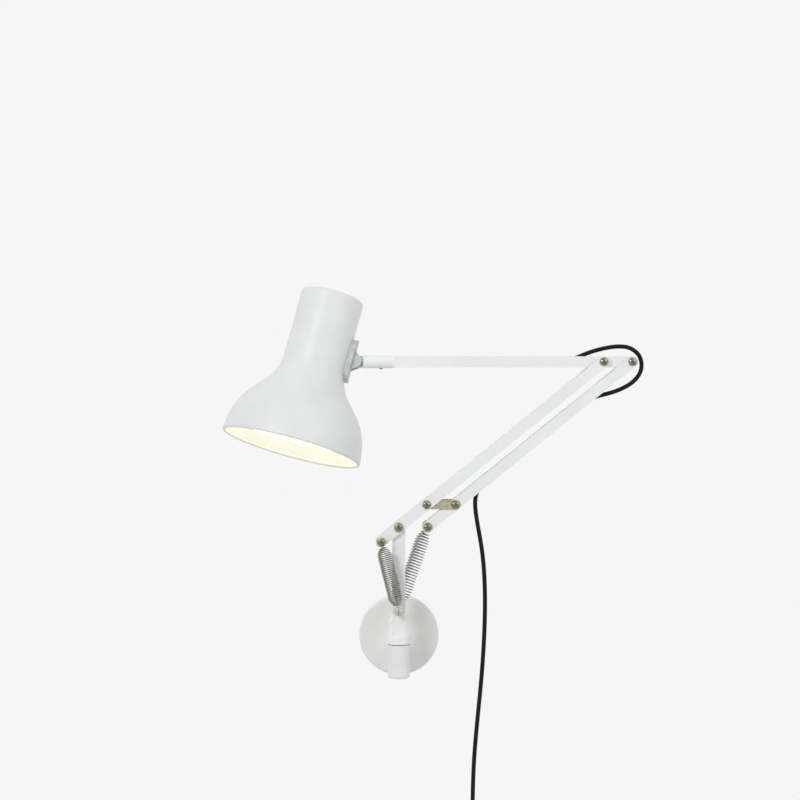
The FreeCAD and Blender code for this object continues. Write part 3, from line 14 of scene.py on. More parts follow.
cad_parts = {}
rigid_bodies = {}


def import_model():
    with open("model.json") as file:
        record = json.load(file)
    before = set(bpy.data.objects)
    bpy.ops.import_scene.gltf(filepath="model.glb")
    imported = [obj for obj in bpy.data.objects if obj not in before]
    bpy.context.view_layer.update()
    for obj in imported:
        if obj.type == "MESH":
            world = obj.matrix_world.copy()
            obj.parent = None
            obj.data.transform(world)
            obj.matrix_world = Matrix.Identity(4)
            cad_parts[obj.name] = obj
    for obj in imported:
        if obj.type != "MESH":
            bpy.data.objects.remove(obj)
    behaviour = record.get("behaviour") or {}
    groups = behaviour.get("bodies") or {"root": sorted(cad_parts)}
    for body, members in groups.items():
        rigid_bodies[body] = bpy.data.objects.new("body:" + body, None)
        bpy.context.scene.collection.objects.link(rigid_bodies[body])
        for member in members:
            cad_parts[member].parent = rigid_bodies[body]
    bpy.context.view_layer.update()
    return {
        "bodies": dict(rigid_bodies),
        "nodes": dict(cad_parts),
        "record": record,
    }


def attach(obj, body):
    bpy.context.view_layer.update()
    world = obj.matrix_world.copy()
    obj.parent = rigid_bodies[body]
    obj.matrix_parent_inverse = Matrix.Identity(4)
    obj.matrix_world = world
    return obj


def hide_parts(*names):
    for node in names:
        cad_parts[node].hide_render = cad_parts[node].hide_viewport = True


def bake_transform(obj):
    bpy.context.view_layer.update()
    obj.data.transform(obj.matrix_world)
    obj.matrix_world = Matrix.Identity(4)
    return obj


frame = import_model()
joints = {joint["name"]: joint for joint in frame["record"]["behaviour"]["joints"]}

# --- the camera: level, square to the wall, a little under two metres off

ARMS_PLANE = joints["base_swivel"]["pos_m"][1]
CAMERA_HEIGHT = 0.2223
CAMERA_SIDE = 0.0011
CAMERA_DISTANCE = 1.78
FOCAL_PER_WIDTH = 1930 / 800  # focal length as a share of the picture's width
SENSOR = 36.0

camera_data = bpy.data.cameras.new("camera")
camera_data.sensor_width = SENSOR
camera_data.lens = SENSOR * FOCAL_PER_WIDTH
camera = bpy.data.objects.new("camera", camera_data)
camera.location = (CAMERA_SIDE, ARMS_PLANE - CAMERA_DISTANCE, CAMERA_HEIGHT)
camera.rotation_euler = (math.radians(90), 0, 0)
bpy.context.collection.objects.link(camera)
bpy.context.scene.camera = camera
bpy.context.scene.view_settings.view_transform = "Standard"

# --- the frames that the pieces are built in


def frame_of(origin, x_axis, z_axis):
    """A placement with its origin, and its own X and Z along two directions."""
    y_axis = z_axis.cross(x_axis)
    turn = Matrix((x_axis, y_axis, z_axis)).transposed()
    return Matrix.Translation(origin) @ turn.to_4x4()


HUB = Vector(joints["head_tilt"]["pos_m"])
SHADE_AXIS = Vector(joints["switch_press"]["axis"]).normalized()
TILT_AXIS = Vector(joints["head_tilt"]["axis"]).normalized()
SHADE_SIDE = TILT_AXIS.cross(SHADE_AXIS)
SHADE_OFFSET = 0.0360  # from the tilt's axis to the shade's own
SHADE_ABOVE = 0.055  # from the tilt's axis up to the shade's top
SHADE = frame_of(HUB - SHADE_SIDE * SHADE_OFFSET + SHADE_AXIS * SHADE_ABOVE, SHADE_SIDE, SHADE_AXIS)

PIVOT = Vector(joints["arm_pivot"]["pos_m"])
ELBOW = Vector(joints["elbow"]["pos_m"])
ARM_UP = (ELBOW - PIVOT).normalized()
ROOM = Vector((0, -1, 0))

# --- materials


def shader(name, color, roughness, metallic=0.0, coat=0.0):
    """A node material with its shader's plain sockets set."""
    made = bpy.data.materials.new(name)
    made.use_nodes = True
    base = made.node_tree.nodes["Principled BSDF"]
    base.inputs["Base Color"].default_value = (*color, 1)
    base.inputs["Roughness"].default_value = roughness
    base.inputs["Metallic"].default_value = metallic
    base.inputs["Coat Weight"].default_value = coat
    base.inputs["Coat Roughness"].default_value = 0.25
    return made


def add(material, kind, **inputs):
    """A node, with the values of its sockets; the spaces in their names are written as _."""
    node = material.node_tree.nodes.new(kind)
    for name, value in inputs.items():
        node.inputs[name.replace("_", " ")].default_value = value
    return node


def link(material, start, end):
    """Joins two sockets of a material's nodes."""
    material.node_tree.links.new(start, end)


def base_of(material):
    """A material's shader node."""
    return material.node_tree.nodes["Principled BSDF"]


def noise(material, scale, detail=3.0, stretch=(1, 1, 1)):
    """Noise that is fixed to the object, its scale in grains per metre."""
    place = add(material, "ShaderNodeTexCoord")
    size = add(material, "ShaderNodeMapping")
    size.inputs["Scale"].default_value = stretch
    grain = add(material, "ShaderNodeTexNoise", Scale=scale, Detail=detail)
    link(material, place.outputs["Object"], size.inputs["Vector"])
    link(material, size.outputs["Vector"], grain.inputs["Vector"])
    return grain.outputs["Fac"]


def bump(material, height, strength, distance):
    """Lets a mask show as fine relief, its depth in metres."""
    node = add(material, "ShaderNodeBump", Strength=strength, Distance=distance)
    link(material, height, node.inputs["Height"])
    link(material, node.outputs["Normal"], base_of(material).inputs["Normal"])


def tinted(material, mask, color, other, low=0.35, high=0.7):
    """Varies the base colour between two, where the mask runs from low to high."""
    ramp = add(material, "ShaderNodeValToRGB")
    ramp.color_ramp.elements[0].position = low
    ramp.color_ramp.elements[1].position = high
    ramp.color_ramp.elements[0].color = (*color, 1)
    ramp.color_ramp.elements[1].color = (*other, 1)
    link(material, mask, ramp.inputs["Fac"])
    link(material, ramp.outputs["Color"], base_of(material).inputs["Base Color"])


def rough_between(material, mask, low, high):
    """Varies the roughness with a mask."""
    node = add(material, "ShaderNodeMapRange")
    node.inputs["To Min"].default_value = low
    node.inputs["To Max"].default_value = high
    link(material, mask, node.inputs["Value"])
    link(material, node.outputs["Result"], base_of(material).inputs["Roughness"])


def srgb(red, green, blue):
    """A colour as a screen shows it, from 0 to 255, turned into the shader's own."""
    return tuple(
        (c / 255) / 12.92 if c <= 10 else ((c / 255 + 0.055) / 1.055) ** 2.4
        for c in (red, green, blue)
    )


def powder_white(name, color, darker, lighter):
    """Satin white powder coat: a faint orange peel and the slightest cloudiness."""
    made = shader(name, color, 0.42, coat=0.12)
    tinted(made, noise(made, 28, 4), darker, lighter)
    rough_between(made, noise(made, 60, 2), 0.38, 0.5)
    bump(made, noise(made, 1600, 2), 0.10, 0.0002)
    return made


def lip_white_shaded():
    """The shade's rolled edge: the white paint greyer and a touch warmer, as painted shade on the
    rim.
    """
    made = shader("lip_paint_shaded", srgb(226, 223, 217), 0.45, coat=0.1)
    tinted(made, noise(made, 60, 4), srgb(221, 218, 211), srgb(231, 229, 224))
    bump(made, noise(made, 1600, 2), 0.10, 0.0002)
    return made


def bracket_white_shaded():
    """The wall bracket's duller coat over a casting, its white a little darker as painted shade on
    the plate.
    """
    made = shader("bracket_paint_shaded", srgb(234, 235, 234), 0.5)
    tinted(made, noise(made, 36, 4), srgb(231, 232, 231), srgb(237, 238, 237))
    rough_between(made, noise(made, 70, 2), 0.45, 0.58)
    bump(made, noise(made, 1300, 3), 0.14, 0.0002)
    return made


def reflector_painted_glow():
    """The shade's inside, enamelled white and lit by the lamp, with a glow of its own painted on as
    lamplight.
    """
    made = shader("reflector_painted_glow", srgb(255, 250, 236), 0.55)
    base = base_of(made)
    # painted light: the inside glows of itself, standing in for the lamp's light on it
    base.inputs["Emission Color"].default_value = (*srgb(255, 250, 233), 1)
    base.inputs["Emission Strength"].default_value = 0.47
    bump(made, noise(made, 900, 2), 0.06, 0.0002)
    return made


def cast_grey():
    """Die-cast metal with a fine grain, its roughness varying at random."""
    made = shader("cast_grey", srgb(195, 198, 194), 0.45, metallic=0.35)
    tinted(made, noise(made, 240, 5), srgb(182, 185, 181), srgb(208, 211, 207))
    rough_between(made, noise(made, 500, 3), 0.34, 0.55)
    bump(made, noise(made, 2600, 4), 0.25, 0.0002)
    return made


def turned_steel():
    """Nickel-plated steel, turned, gone slightly warm."""
    made = shader("turned_steel", srgb(160, 157, 141), 0.26, metallic=1.0)
    tinted(made, noise(made, 700, 4), srgb(138, 134, 118), srgb(180, 177, 162))
    rough_between(made, noise(made, 1500, 3), 0.16, 0.34)
    bump(made, noise(made, 3500, 2, (1, 6, 1)), 0.12, 0.0001)
    return made


def spring_steel():
    """Bright drawn wire with streaks along it."""
    made = shader("spring_steel", srgb(153, 155, 151), 0.26, metallic=1.0)
    tinted(made, noise(made, 900, 3), srgb(131, 133, 129), srgb(173, 175, 171))
    rough_between(made, noise(made, 1200, 2), 0.18, 0.36)
    bump(made, noise(made, 3000, 2, (1, 1, 8)), 0.1, 0.0001)
    return made


def yellow_zinc():
    """Passivated zinc plate, dull and faintly mottled."""
    made = shader("yellow_zinc", srgb(211, 205, 173), 0.4, metallic=0.75)
    tinted(made, noise(made, 420, 5), srgb(190, 183, 149), srgb(232, 226, 196))
    rough_between(made, noise(made, 800, 3), 0.3, 0.5)
    bump(made, noise(made, 2400, 3), 0.12, 0.0001)
    return made


def nylon():
    """Natural nylon, slightly uneven."""
    made = shader("nylon", srgb(222, 219, 202), 0.45)
    tinted(made, noise(made, 300, 3), srgb(212, 208, 190), srgb(230, 227, 212))
    bump(made, noise(made, 1800, 3), 0.1, 0.0001)
    return made


def black_plastic():
    """Moulded black plastic with a spark-eroded grain."""
    made = shader("black_plastic", srgb(30, 30, 31), 0.5)
    tinted(made, noise(made, 160, 3), srgb(26, 26, 27), srgb(36, 36, 38))
    rough_between(made, noise(made, 700, 3), 0.42, 0.62)
    bump(made, noise(made, 3000, 4), 0.35, 0.0001)
    return made


def cord_rubber():
    """The cord's sheath: black, dull, with a faint haze from handling."""
    made = shader("cord_rubber", srgb(16, 16, 16), 0.46)
    base_of(made).inputs["Specular IOR Level"].default_value = 0.2
    tinted(made, noise(made, 120, 4), srgb(11, 11, 11), srgb(26, 26, 26))
    rough_between(made, noise(made, 500, 3), 0.36, 0.58)
    bump(made, noise(made, 4000, 2), 0.12, 0.0001)
    return made


def brass():
    """The plug's drawn brass pins."""
    made = shader("brass", srgb(206, 176, 110), 0.28, metallic=1.0)
    tinted(made, noise(made, 600, 3), srgb(188, 156, 92), srgb(220, 192, 128))
    rough_between(made, noise(made, 900, 3), 0.18, 0.4)
    bump(made, noise(made, 3000, 2), 0.08, 0.0001)
    return made


def lamp_glass():
    """The lamp's opal glass, lit from inside."""
    made = shader("lamp_glass", srgb(255, 250, 232), 0.3)
    base = base_of(made)
    base.inputs["Emission Color"].default_value = (*srgb(255, 246, 218), 1)
    base.inputs["Emission Strength"].default_value = 1.6
    bump(made, noise(made, 500, 2), 0.03, 0.0002)
    return made


WHITE = powder_white(
    "white_paint", srgb(239, 242, 241), srgb(236, 239, 238), srgb(242, 245, 244)
)
DIMMED_LAMPSHADE_WHITE = powder_white(  # painted shade: the same white coat, made darker on the lampshade to tone down how brightly it is lit
    "lampshade_paint_dimmed", srgb(228, 231, 229), srgb(225, 228, 226), srgb(231, 234, 232)
)
LIP_WHITE_SHADED = lip_white_shaded()
BRACKET_SHADED_WHITE = bracket_white_shaded()
GLOWING_REFLECTOR = reflector_painted_glow()
CAST = cast_grey()
STEEL = turned_steel()
SPRING = spring_steel()
ZINC = yellow_zinc()
NYLON = nylon()
PLASTIC = black_plastic()
RUBBER = cord_rubber()
BRASS = brass()
GLASS = lamp_glass()

LOOK_OF_SLOT = {
    "white_paint": WHITE,
    "cast_grey": CAST,
    "steel": STEEL,
    "spring_steel": SPRING,
    "zinc": ZINC,
    "nylon": NYLON,
    "black_plastic": PLASTIC,
    "black_cord": RUBBER,
    "brass": BRASS,
    "lamp_glass": GLASS,
}
for subpart in frame["record"]["subparts"]:
    node = frame["nodes"][subpart["node"]]
    for slot in node.material_slots:
        slot.material = LOOK_OF_SLOT[subpart["material_slot"]]
LOOK_OF_NODE = {  # pieces that look unlike the rest of their slot
    "wall_bracket": BRACKET_SHADED_WHITE,
    # painted shade: the bush is black so that the gap under the collar shows dark
    "socket_bush": PLASTIC,
    "anchor_pin": CAST,
    "tilt_pin": CAST,
}
for name, look in LOOK_OF_NODE.items():
    for slot in frame["nodes"][name].material_slots:
        slot.material = look

# --- ways to make a piece

ON_AXIS = 1e-7  # a profile's point this near its axis is the axis itself


def new_object(name, data, material, body):
    """An object of the scene that rides on a body."""
    made = bpy.data.objects.new(name, data)
    bpy.context.collection.objects.link(made)
    data.materials.append(material)
    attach(made, body)
    return made


def rider(name, place, body):
    """An empty that rides on a body."""
    made = bpy.data.objects.new(name, None)
    bpy.context.collection.objects.link(made)
    made.location = place
    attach(made, body)
    return made


def rounded(points, radii, step=math.radians(6)):
    """A 2D line through points, with an arc of the given radius at some of its corners."""
    line = []
    for i, point in enumerate(points):
        radius = radii.get(i)
        if not radius:
            line.append(point)
            continue
        corner, before, after = (Vector(points[k]) for k in (i, i - 1, i + 1))
        come, go = (corner - before).normalized(), (after - corner).normalized()
        turn = come.angle_signed(go)  # clockwise is positive
        reach = radius * math.tan(abs(turn) / 2)
        side = Vector((come.y, -come.x)) * math.copysign(1, turn)
        centre = corner - come * reach + side * radius
        count = max(2, math.ceil(abs(turn) / step))
        for k in range(count + 1):
            arm = -side * radius
            arm.rotate(Matrix.Rotation(-turn * k / count, 2))
            line.append(tuple(centre + arm))
    return line


def lathe(name, profile, place, material, body, steps=128, closed=True):
    """A turned piece: a profile of (radius, height), spun round the Z of its place."""
    mesh = bpy.data.meshes.new(name)
    build = bmesh.new()
    rings = []
    for radius, height in profile:
        if radius < ON_AXIS:
            rings.append([build.verts.new((0, 0, height))] * steps)
            continue
        turns = (2 * math.pi * i / steps for i in range(steps))
        rings.append(
            [build.verts.new((radius * math.cos(t), radius * math.sin(t), height)) for t in turns]
        )
    pairs = list(zip(rings, rings[1:]))
    if closed:
        pairs.append((rings[-1], rings[0]))
    for low, high in pairs:
        for i in range(steps):
            after = (i + 1) % steps
            corners = list(dict.fromkeys((low[i], low[after], high[after], high[i])))
            if len(corners) > 2:
                build.faces.new(corners)
    bmesh.ops.recalc_face_normals(build, faces=build.faces)
    build.to_mesh(mesh)
    build.free()
    mesh.transform(place)
    mesh.shade_smooth()
    mesh.set_sharp_from_angle(angle=math.radians(35))
    return new_object(name, mesh, material, body)


def open_line(name, points):
    """A smooth line with the points as its control points."""
    curve = bpy.data.curves.new(name, "CURVE")
    curve.dimensions = "3D"
    spline = curve.splines.new("NURBS")
    spline.points.add(len(points) - 1)
    for point, place in zip(spline.points, points):
        point.co = (*place, 1)
    spline.order_u = 3
    spline.use_endpoint_u = True
    spline.resolution_u = 6
    return curve


def followed(curve):
    """The points that a curve with no bevel runs through."""
    holder = bpy.data.objects.new("line", curve)
    bpy.context.collection.objects.link(holder)
    mesh = bpy.data.meshes.new_from_object(holder)
    points = [vertex.co.copy() for vertex in mesh.vertices]
    bpy.data.objects.remove(holder)
    bpy.data.meshes.remove(mesh)
    return points


def tube_mesh(name, points, radius, sides=14):
    """A closed round tube along points."""
    mesh = bpy.data.meshes.new(name)
    build = bmesh.new()
    rings = []
    across = (points[1] - points[0]).orthogonal().normalized()
    for i, point in enumerate(points):
        ahead = (points[min(i + 1, len(points) - 1)] - points[max(i - 1, 0)]).normalized()
        across = (across - ahead * across.dot(ahead)).normalized()
        other = ahead.cross(across)
        turns = (2 * math.pi * k / sides for k in range(sides))
        rings.append(
            [
                build.verts.new(point + (across * math.cos(t) + other * math.sin(t)) * radius)
                for t in turns
            ]
        )
    for low, high in zip(rings, rings[1:]):
        for k in range(sides):
            after = (k + 1) % sides
            build.faces.new((low[k], low[after], high[after], high[k]))
    build.faces.new(reversed(rings[0]))
    build.faces.new(rings[-1])
    bmesh.ops.recalc_face_normals(build, faces=build.faces)
    build.to_mesh(mesh)
    build.free()
    mesh.shade_smooth()
    mesh.set_sharp_from_angle(angle=math.radians(50))
    return mesh


# --- the cords, on the same routes as the model's

CORD_DIAMETER = 0.004
DEPTH = ARMS_PLANE
MAINS_EXIT = (0.081101, 0.147669)
HANGING_ROUTE = [
    (0.0760, 0.1436),
    (0.0724, 0.1381),
    (0.0705, 0.1318),
    (0.0703, 0.1243),
    (0.0716, 0.1135),
    (0.0740, 0.1000),
    (0.0768, 0.0840),
    (0.0788, 0.0640),
    (0.0796, 0.0400),
    (0.0792, 0.0140),
    (0.0779, -0.0120),
    (0.0759, -0.0380),
    (0.0733, -0.0640),
    (0.0710, -0.0880),
    (0.0693, -0.1100),
    (0.0685, -0.1290),
    (0.0681, -0.1460),
    (0.0681, -0.1605),
]
SWING_REACH = 0.2  # from the upright's axis to the empty that swings the lead clear
SWING_SHARE = 0.055  # of that empty's way, that the lead goes with it
SWING_EASE = 5  # points at each end over which the share grows
EXIT_POINTS = 4  # of the route, that go wholly with the arm
COIL_ENTRY = [(0.0192, 0.0128), (0.0168, 0.0069), (0.0123, 0.0024), (0.0064, 0.0)]
COIL_TOP = Vector((0.0450, DEPTH, -0.1840))
COIL_TURNS = 3
COIL_LAYERS = 4
COIL_PITCH = 0.0046
COIL_RADIUS = 0.022
COIL_LEAD = CORD_DIAMETER
POINTS_PER_TURN = 16
CLIMB_TURNS = 0.5  # the part of a turn that takes the cord to the next layer
LAST_TURN = 0.25  # brings the cord's end to the coil's foot


def coil_points():
    """The put-away length's turns: they spiral in and out again, layer beside layer."""
    widest = COIL_RADIUS + COIL_TURNS * COIL_PITCH / 2
    centre = COIL_TOP - Vector((0, 0, widest))
    points = []
    total = COIL_TURNS * COIL_LAYERS + LAST_TURN
    for i in range(round(total * POINTS_PER_TURN) + 1):
        turn = i / POINTS_PER_TURN
        layer = min(COIL_LAYERS - 1, int(turn // COIL_TURNS))
        within = turn - layer * COIL_TURNS
        inward = within if layer % 2 == 0 else COIL_TURNS - within
        climb = layer * COIL_PITCH
        edge = (turn + CLIMB_TURNS / 2) % COIL_TURNS
        number = round((turn - edge + CLIMB_TURNS / 2) / COIL_TURNS)
        if edge < CLIMB_TURNS and 0 < number < COIL_LAYERS:
            climb = COIL_PITCH * (number - 0.5 - 0.5 * math.cos(math.pi * edge / CLIMB_TURNS))
        angle = math.radians(90) + 2 * math.pi * turn
        spread = (widest - COIL_PITCH * inward) / math.cos(math.pi / POINTS_PER_TURN) ** 0.5
        points.append(
            centre + Vector((spread * math.cos(angle), climb, spread * math.sin(angle)))
        )
    return points


def mains_cord():
    """The lead: out of the arm, down beside the wall plate, and wound up below the view."""
    turns = coil_points()
    entry = turns[0] + Vector((COIL_LEAD, 0, 0))
    tail = turns[-1] - Vector((0, 0, COIL_LEAD))
    points = [Vector((x, DEPTH, z)) for x, z in (MAINS_EXIT, *HANGING_ROUTE)]
    points += [entry + Vector((x, 0, z)) for x, z in COIL_ENTRY]
    points += [entry, *turns, tail]
    curve = open_line("lead", points)
    for point in curve.splines[0].points:
        point.radius = CORD_DIAMETER / 2
    curve.bevel_depth = 1.0
    curve.bevel_resolution = 4
    curve.use_fill_caps = True
    cord = new_object("lead", curve, RUBBER, "wall_mount")
    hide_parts("mains_cord", "cord_coil")
    follow_arm(cord, len(HANGING_ROUTE))
    return cord


def eased(share):
    """A share that starts and ends gently."""
    share = min(max(share, 0), 1)
    return share * share * (3 - 2 * share)


def hang_on(cord, carrier, shares):
    """Lets the cord's first control points go with the carrier, each by its own share."""
    bpy.context.view_layer.update()
    for i, share in enumerate(shares):
        hook = cord.modifiers.new(f"{carrier.name}_{i}", "HOOK")
        hook.object = carrier
        hook.falloff_type = "NONE"
        hook.vertex_indices_set([i])
        hook.matrix_inverse = carrier.matrix_world.inverted() @ cord.matrix_world
        hook.strength = share


def follow_arm(cord, last):
    """Lets the lead's top go with its arm, and pass on the room's side of a lamp turned round."""
    carrier = rider("lead_carrier", Vector(), "balance_arm")
    below = range(-EXIT_POINTS, last - EXIT_POINTS)
    hang_on(cord, carrier, [eased(1 - i / below[-1]) for i in below])
    swing = bpy.data.objects.new("lead_swing", None)
    bpy.context.collection.objects.link(swing)
    swing.location = (0, DEPTH - SWING_REACH, 0)
    turned = swing.constraints.new("COPY_ROTATION")
    turned.target = frame["bodies"]["upright"]
    bump = [min(eased(i / SWING_EASE), eased((below[-1] - i) / SWING_EASE)) for i in below]
    hang_on(cord, swing, [SWING_SHARE * share for share in bump])


ELBOW_START = (0.140335, 0.255517)
ELBOW_ROUTE = [
    (0.1490, 0.2556),
    (0.1580, 0.2586),
    (0.1670, 0.2627),
    (0.1760, 0.2664),
    (0.1880, 0.2698),
    (0.2010, 0.2720),
    (0.2135, 0.2710),
    (0.2230, 0.2630),
    (0.2245, 0.2505),
    (0.2180, 0.2400),
    (0.2066, 0.2329),
    (0.1945, 0.2285),
]
ELBOW_END = (0.167528, 0.217372)
ELBOW_END_RUN = 0.011


def elbow_cord():
    """The cord's loop round the elbow, out of the forearm and into the balance arm."""
    last = Vector((ELBOW_END[0], DEPTH, ELBOW_END[1]))
    points = [Vector((x, DEPTH, z)) for x, z in (ELBOW_START, *ELBOW_ROUTE)]
    points += [last + ARM_UP * ELBOW_END_RUN, last]
    line = followed(open_line("elbow_line", points))
    mesh = tube_mesh("elbow_loop", line, CORD_DIAMETER / 2)
    loop = bpy.data.objects.new("elbow_loop", mesh)
    bpy.context.collection.objects.link(loop)
    mesh.materials.append(RUBBER)
    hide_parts("elbow_cord")
    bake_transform(loop)
    return loop


lead = mains_cord()
loop = elbow_cord()

# --- the shade, smoother than the model's facets: its shell, its inner face and its lip

NECK_RADIUS = 0.0294
NECK_LENGTH = 0.0806
NECK_FLARE = 0.043
SHOULDER = (0.0621, -0.1184)
SHOULDER_CURVE = 0.060
MOUTH = (0.0650, -0.1475)
SHADE_EDGE = 0.003
SHADE_DOME = 0.003
SHADE_WALL = 0.0012
SWITCH_HOLE = 0.0065
LIP_WIDTH = 0.0028
LIP_HEIGHT = 0.0024
LIP_BEAD = 0.00145
LIP_SIDES = 20
LINER_GAP = 0.00012
SHADE_STEPS = 160


def dome_height(radius):
    """How high the shade's shallow dome stands at a radius."""
    crown = NECK_RADIUS - SHADE_EDGE
    return SHADE_DOME * (1 - (radius / crown) ** 2)


def shade_line(inset):
    """The shade's side, from its top to its mouth, set in by a wall's thickness."""
    crown = NECK_RADIUS - SHADE_EDGE
    dome_steps = 8
    radii = (SWITCH_HOLE + (crown - SWITCH_HOLE) * i / dome_steps for i in range(dome_steps))
    line = [(radius, dome_height(radius)) for radius in radii]
    side = [
        (crown, 0),
        (NECK_RADIUS, 0),
        (NECK_RADIUS, -NECK_LENGTH),
        SHOULDER,
        MOUTH,
    ]
    line += rounded(side, {1: SHADE_EDGE, 2: NECK_FLARE, 3: SHOULDER_CURVE}, math.radians(4))[1:]
    if not inset:
        return line
    moved = []
    for i, (radius, height) in enumerate(line):
        before, after = Vector(line[max(i - 1, 0)]), Vector(line[min(i + 1, len(line) - 1)])
        along = (after - before).normalized()
        inward = Vector((along.y, -along.x))
        moved.append((radius + inward.x * inset, height + inward.y * inset))
    return moved


def rolled_lip():
    """The mouth's rolled edge, from outside to inside."""
    corner = LIP_HEIGHT * 0.4
    radius, height = MOUTH
    inner = radius - LIP_WIDTH
    top = height + LIP_HEIGHT
    edge = [
        (radius, top),
        (radius, height),
        (inner, height),
        (inner, top),
        (inner + LIP_WIDTH * 0.5, top),
    ]
    return rounded(edge, {1: corner, 2: corner, 3: corner}, math.radians(15))


outside = shade_line(0)[:-1]
inside = shade_line(SHADE_WALL)[:-1]
shade_shell = lathe(
    "shade_shell",
    outside + rolled_lip() + inside[::-1],
    SHADE,
    DIMMED_LAMPSHADE_WHITE,
    "head",
    steps=SHADE_STEPS,
)
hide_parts("shade")
liner_line = shade_line(SHADE_WALL + LINER_GAP)[3:-2]  # clear of the switch and of the lip
# the liner carries the painted lamplight of the shade's inside
shade_liner = lathe(
    "shade_liner",
    liner_line,
    SHADE,
    GLOWING_REFLECTOR,
    "head",
    steps=SHADE_STEPS,
    closed=False,
)

lip_centre = (MOUTH[0] - LIP_WIDTH / 2, MOUTH[1] + LIP_HEIGHT / 2)
lip_turns = [2 * math.pi * i / LIP_SIDES for i in range(LIP_SIDES)]
lathe(
    "shade_lip",
    [
        (lip_centre[0] + LIP_BEAD * math.cos(t), lip_centre[1] + LIP_BEAD * math.sin(t))
        for t in lip_turns
    ],
    SHADE,
    LIP_WHITE_SHADED,
    "head",
    steps=SHADE_STEPS,
)

# --- the springs, which stretch between their pins

SPRING_RADIUS = 0.0065
SPRING_WIRE = 0.00115
SPRING_LEAD = 0.0058
SPRING_OFFSET = 0.017
FRONT_TURNS = 29
REAR_TURNS = 26
SPRING_TAPER = 4.0  # turns over which each end draws in
SPRING_NARROW = 0.45  # an end's radius, as a share of the coil's
SPRING_STEPS = 16  # points to a turn
HOOK_RADIUS = 0.0027
HOOK_NECK = 2.3  # from a hook's centre to its coil's start, in radii
HOOK_ANGLES = (40, 70, 105, 140, 170, 205, 235, 270, 300)
ANCHOR = Vector((0, DEPTH, 0.0295))
LEVER_PIN = PIVOT - ARM_UP * 0.0205
TAIL_SPRING_PIN = PIVOT + Vector((0.0265, 0, 0))


def spring_points(length, turns):
    """An extension spring along +Y: a hook round each pin and a coil with drawn-in ends."""

    def hook(centre, way):
        turned = [math.radians(a) for a in HOOK_ANGLES]
        bent = [Vector((math.sin(t), way * math.cos(t), 0)) * HOOK_RADIUS for t in turned]
        bent.append(Vector((0, way * HOOK_RADIUS * HOOK_NECK, 0)))
        return [Vector((0, centre, 0)) + point for point in bent]

    coil = []
    reach = length - 2 * SPRING_LEAD
    for i in range(turns * SPRING_STEPS + 1):
        turn = i / SPRING_STEPS
        near_end = min(1, min(turn, turns - turn) / SPRING_TAPER)
        widening = (1 - SPRING_NARROW) * math.sin(math.pi / 2 * near_end)
        spread = SPRING_RADIUS * (SPRING_NARROW + widening)
        angle = 2 * math.pi * turn
        along = SPRING_LEAD + reach * turn / turns
        coil.append(Vector((spread * math.cos(angle), along, spread * math.sin(angle))))
    return [*hook(0, 1), *coil, *reversed(hook(length, -1))]


def spring(name, top, side, turns, top_body, node):
    """A spring on two pins: its near end rides on the upright, and it reaches for the other."""
    low = ANCHOR + side
    high = top + side
    along = high - low
    line = followed(open_line(name + "_line", spring_points(along.length, turns)))
    mesh = tube_mesh(name, line, SPRING_WIRE / 2, sides=10)
    made = bpy.data.objects.new(name, mesh)
    bpy.context.collection.objects.link(made)
    mesh.materials.append(SPRING)
    y_axis = along.normalized()
    z_axis = ROOM - y_axis * ROOM.dot(y_axis)
    z_axis.normalize()
    x_axis = y_axis.cross(z_axis)
    turn = Matrix((x_axis, y_axis, z_axis)).transposed().to_4x4()
    made.matrix_world = Matrix.Translation(low) @ turn
    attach(made, "upright")
    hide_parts(node)
    aim = made.constraints.new("DAMPED_TRACK")
    aim.target = rider(name + "_end", high, top_body)
    aim.track_axis = "TRACK_Y"
    puller = rider(name + "_puller", high, top_body)
    level = puller.constraints.new("COPY_ROTATION")
    level.target = made
    stretch_coil(made, puller, along.length)
    return made


def stretch_coil(made, puller, length):
    """Moves the far hook with its pin and draws the coil out evenly between the hooks."""
    bpy.context.view_layer.update()
    coil = made.vertex_groups.new(name="coil")
    for vertex in made.data.vertices:
        share = (vertex.co.y - SPRING_LEAD) / (length - 2 * SPRING_LEAD)
        coil.add([vertex.index], min(max(share, 0), 1), "REPLACE")
    hook = made.modifiers.new("stretch", "HOOK")
    hook.object = puller
    hook.falloff_type = "NONE"
    hook.vertex_group = coil.name
    hook.matrix_inverse = puller.matrix_world.inverted() @ made.matrix_world


FRONT = ROOM * SPRING_OFFSET
spring("spring_front", LEVER_PIN, FRONT, FRONT_TURNS, "lower_arm", "front_spring")
spring("spring_rear", TAIL_SPRING_PIN, -FRONT, REAR_TURNS, "balance_arm", "rear_spring")

# --- the room: a pale wall that shows plain, and two soft lamps from above, left and right

PALE = srgb(246, 246, 246)
WALL_SIZE = 6.0
WALL_GAP = 0.0006
DIM_END = 0.35  # the strength of the room's far end, in reflections
DIFFUSE_LEVEL = 0.64  # the room's strength for all but the camera and reflections
MIDDLE = (0.05, ARMS_PLANE, 0.15)
LAMP_HEIGHT = -0.122  # of the lamp's light, in the shade's own frame


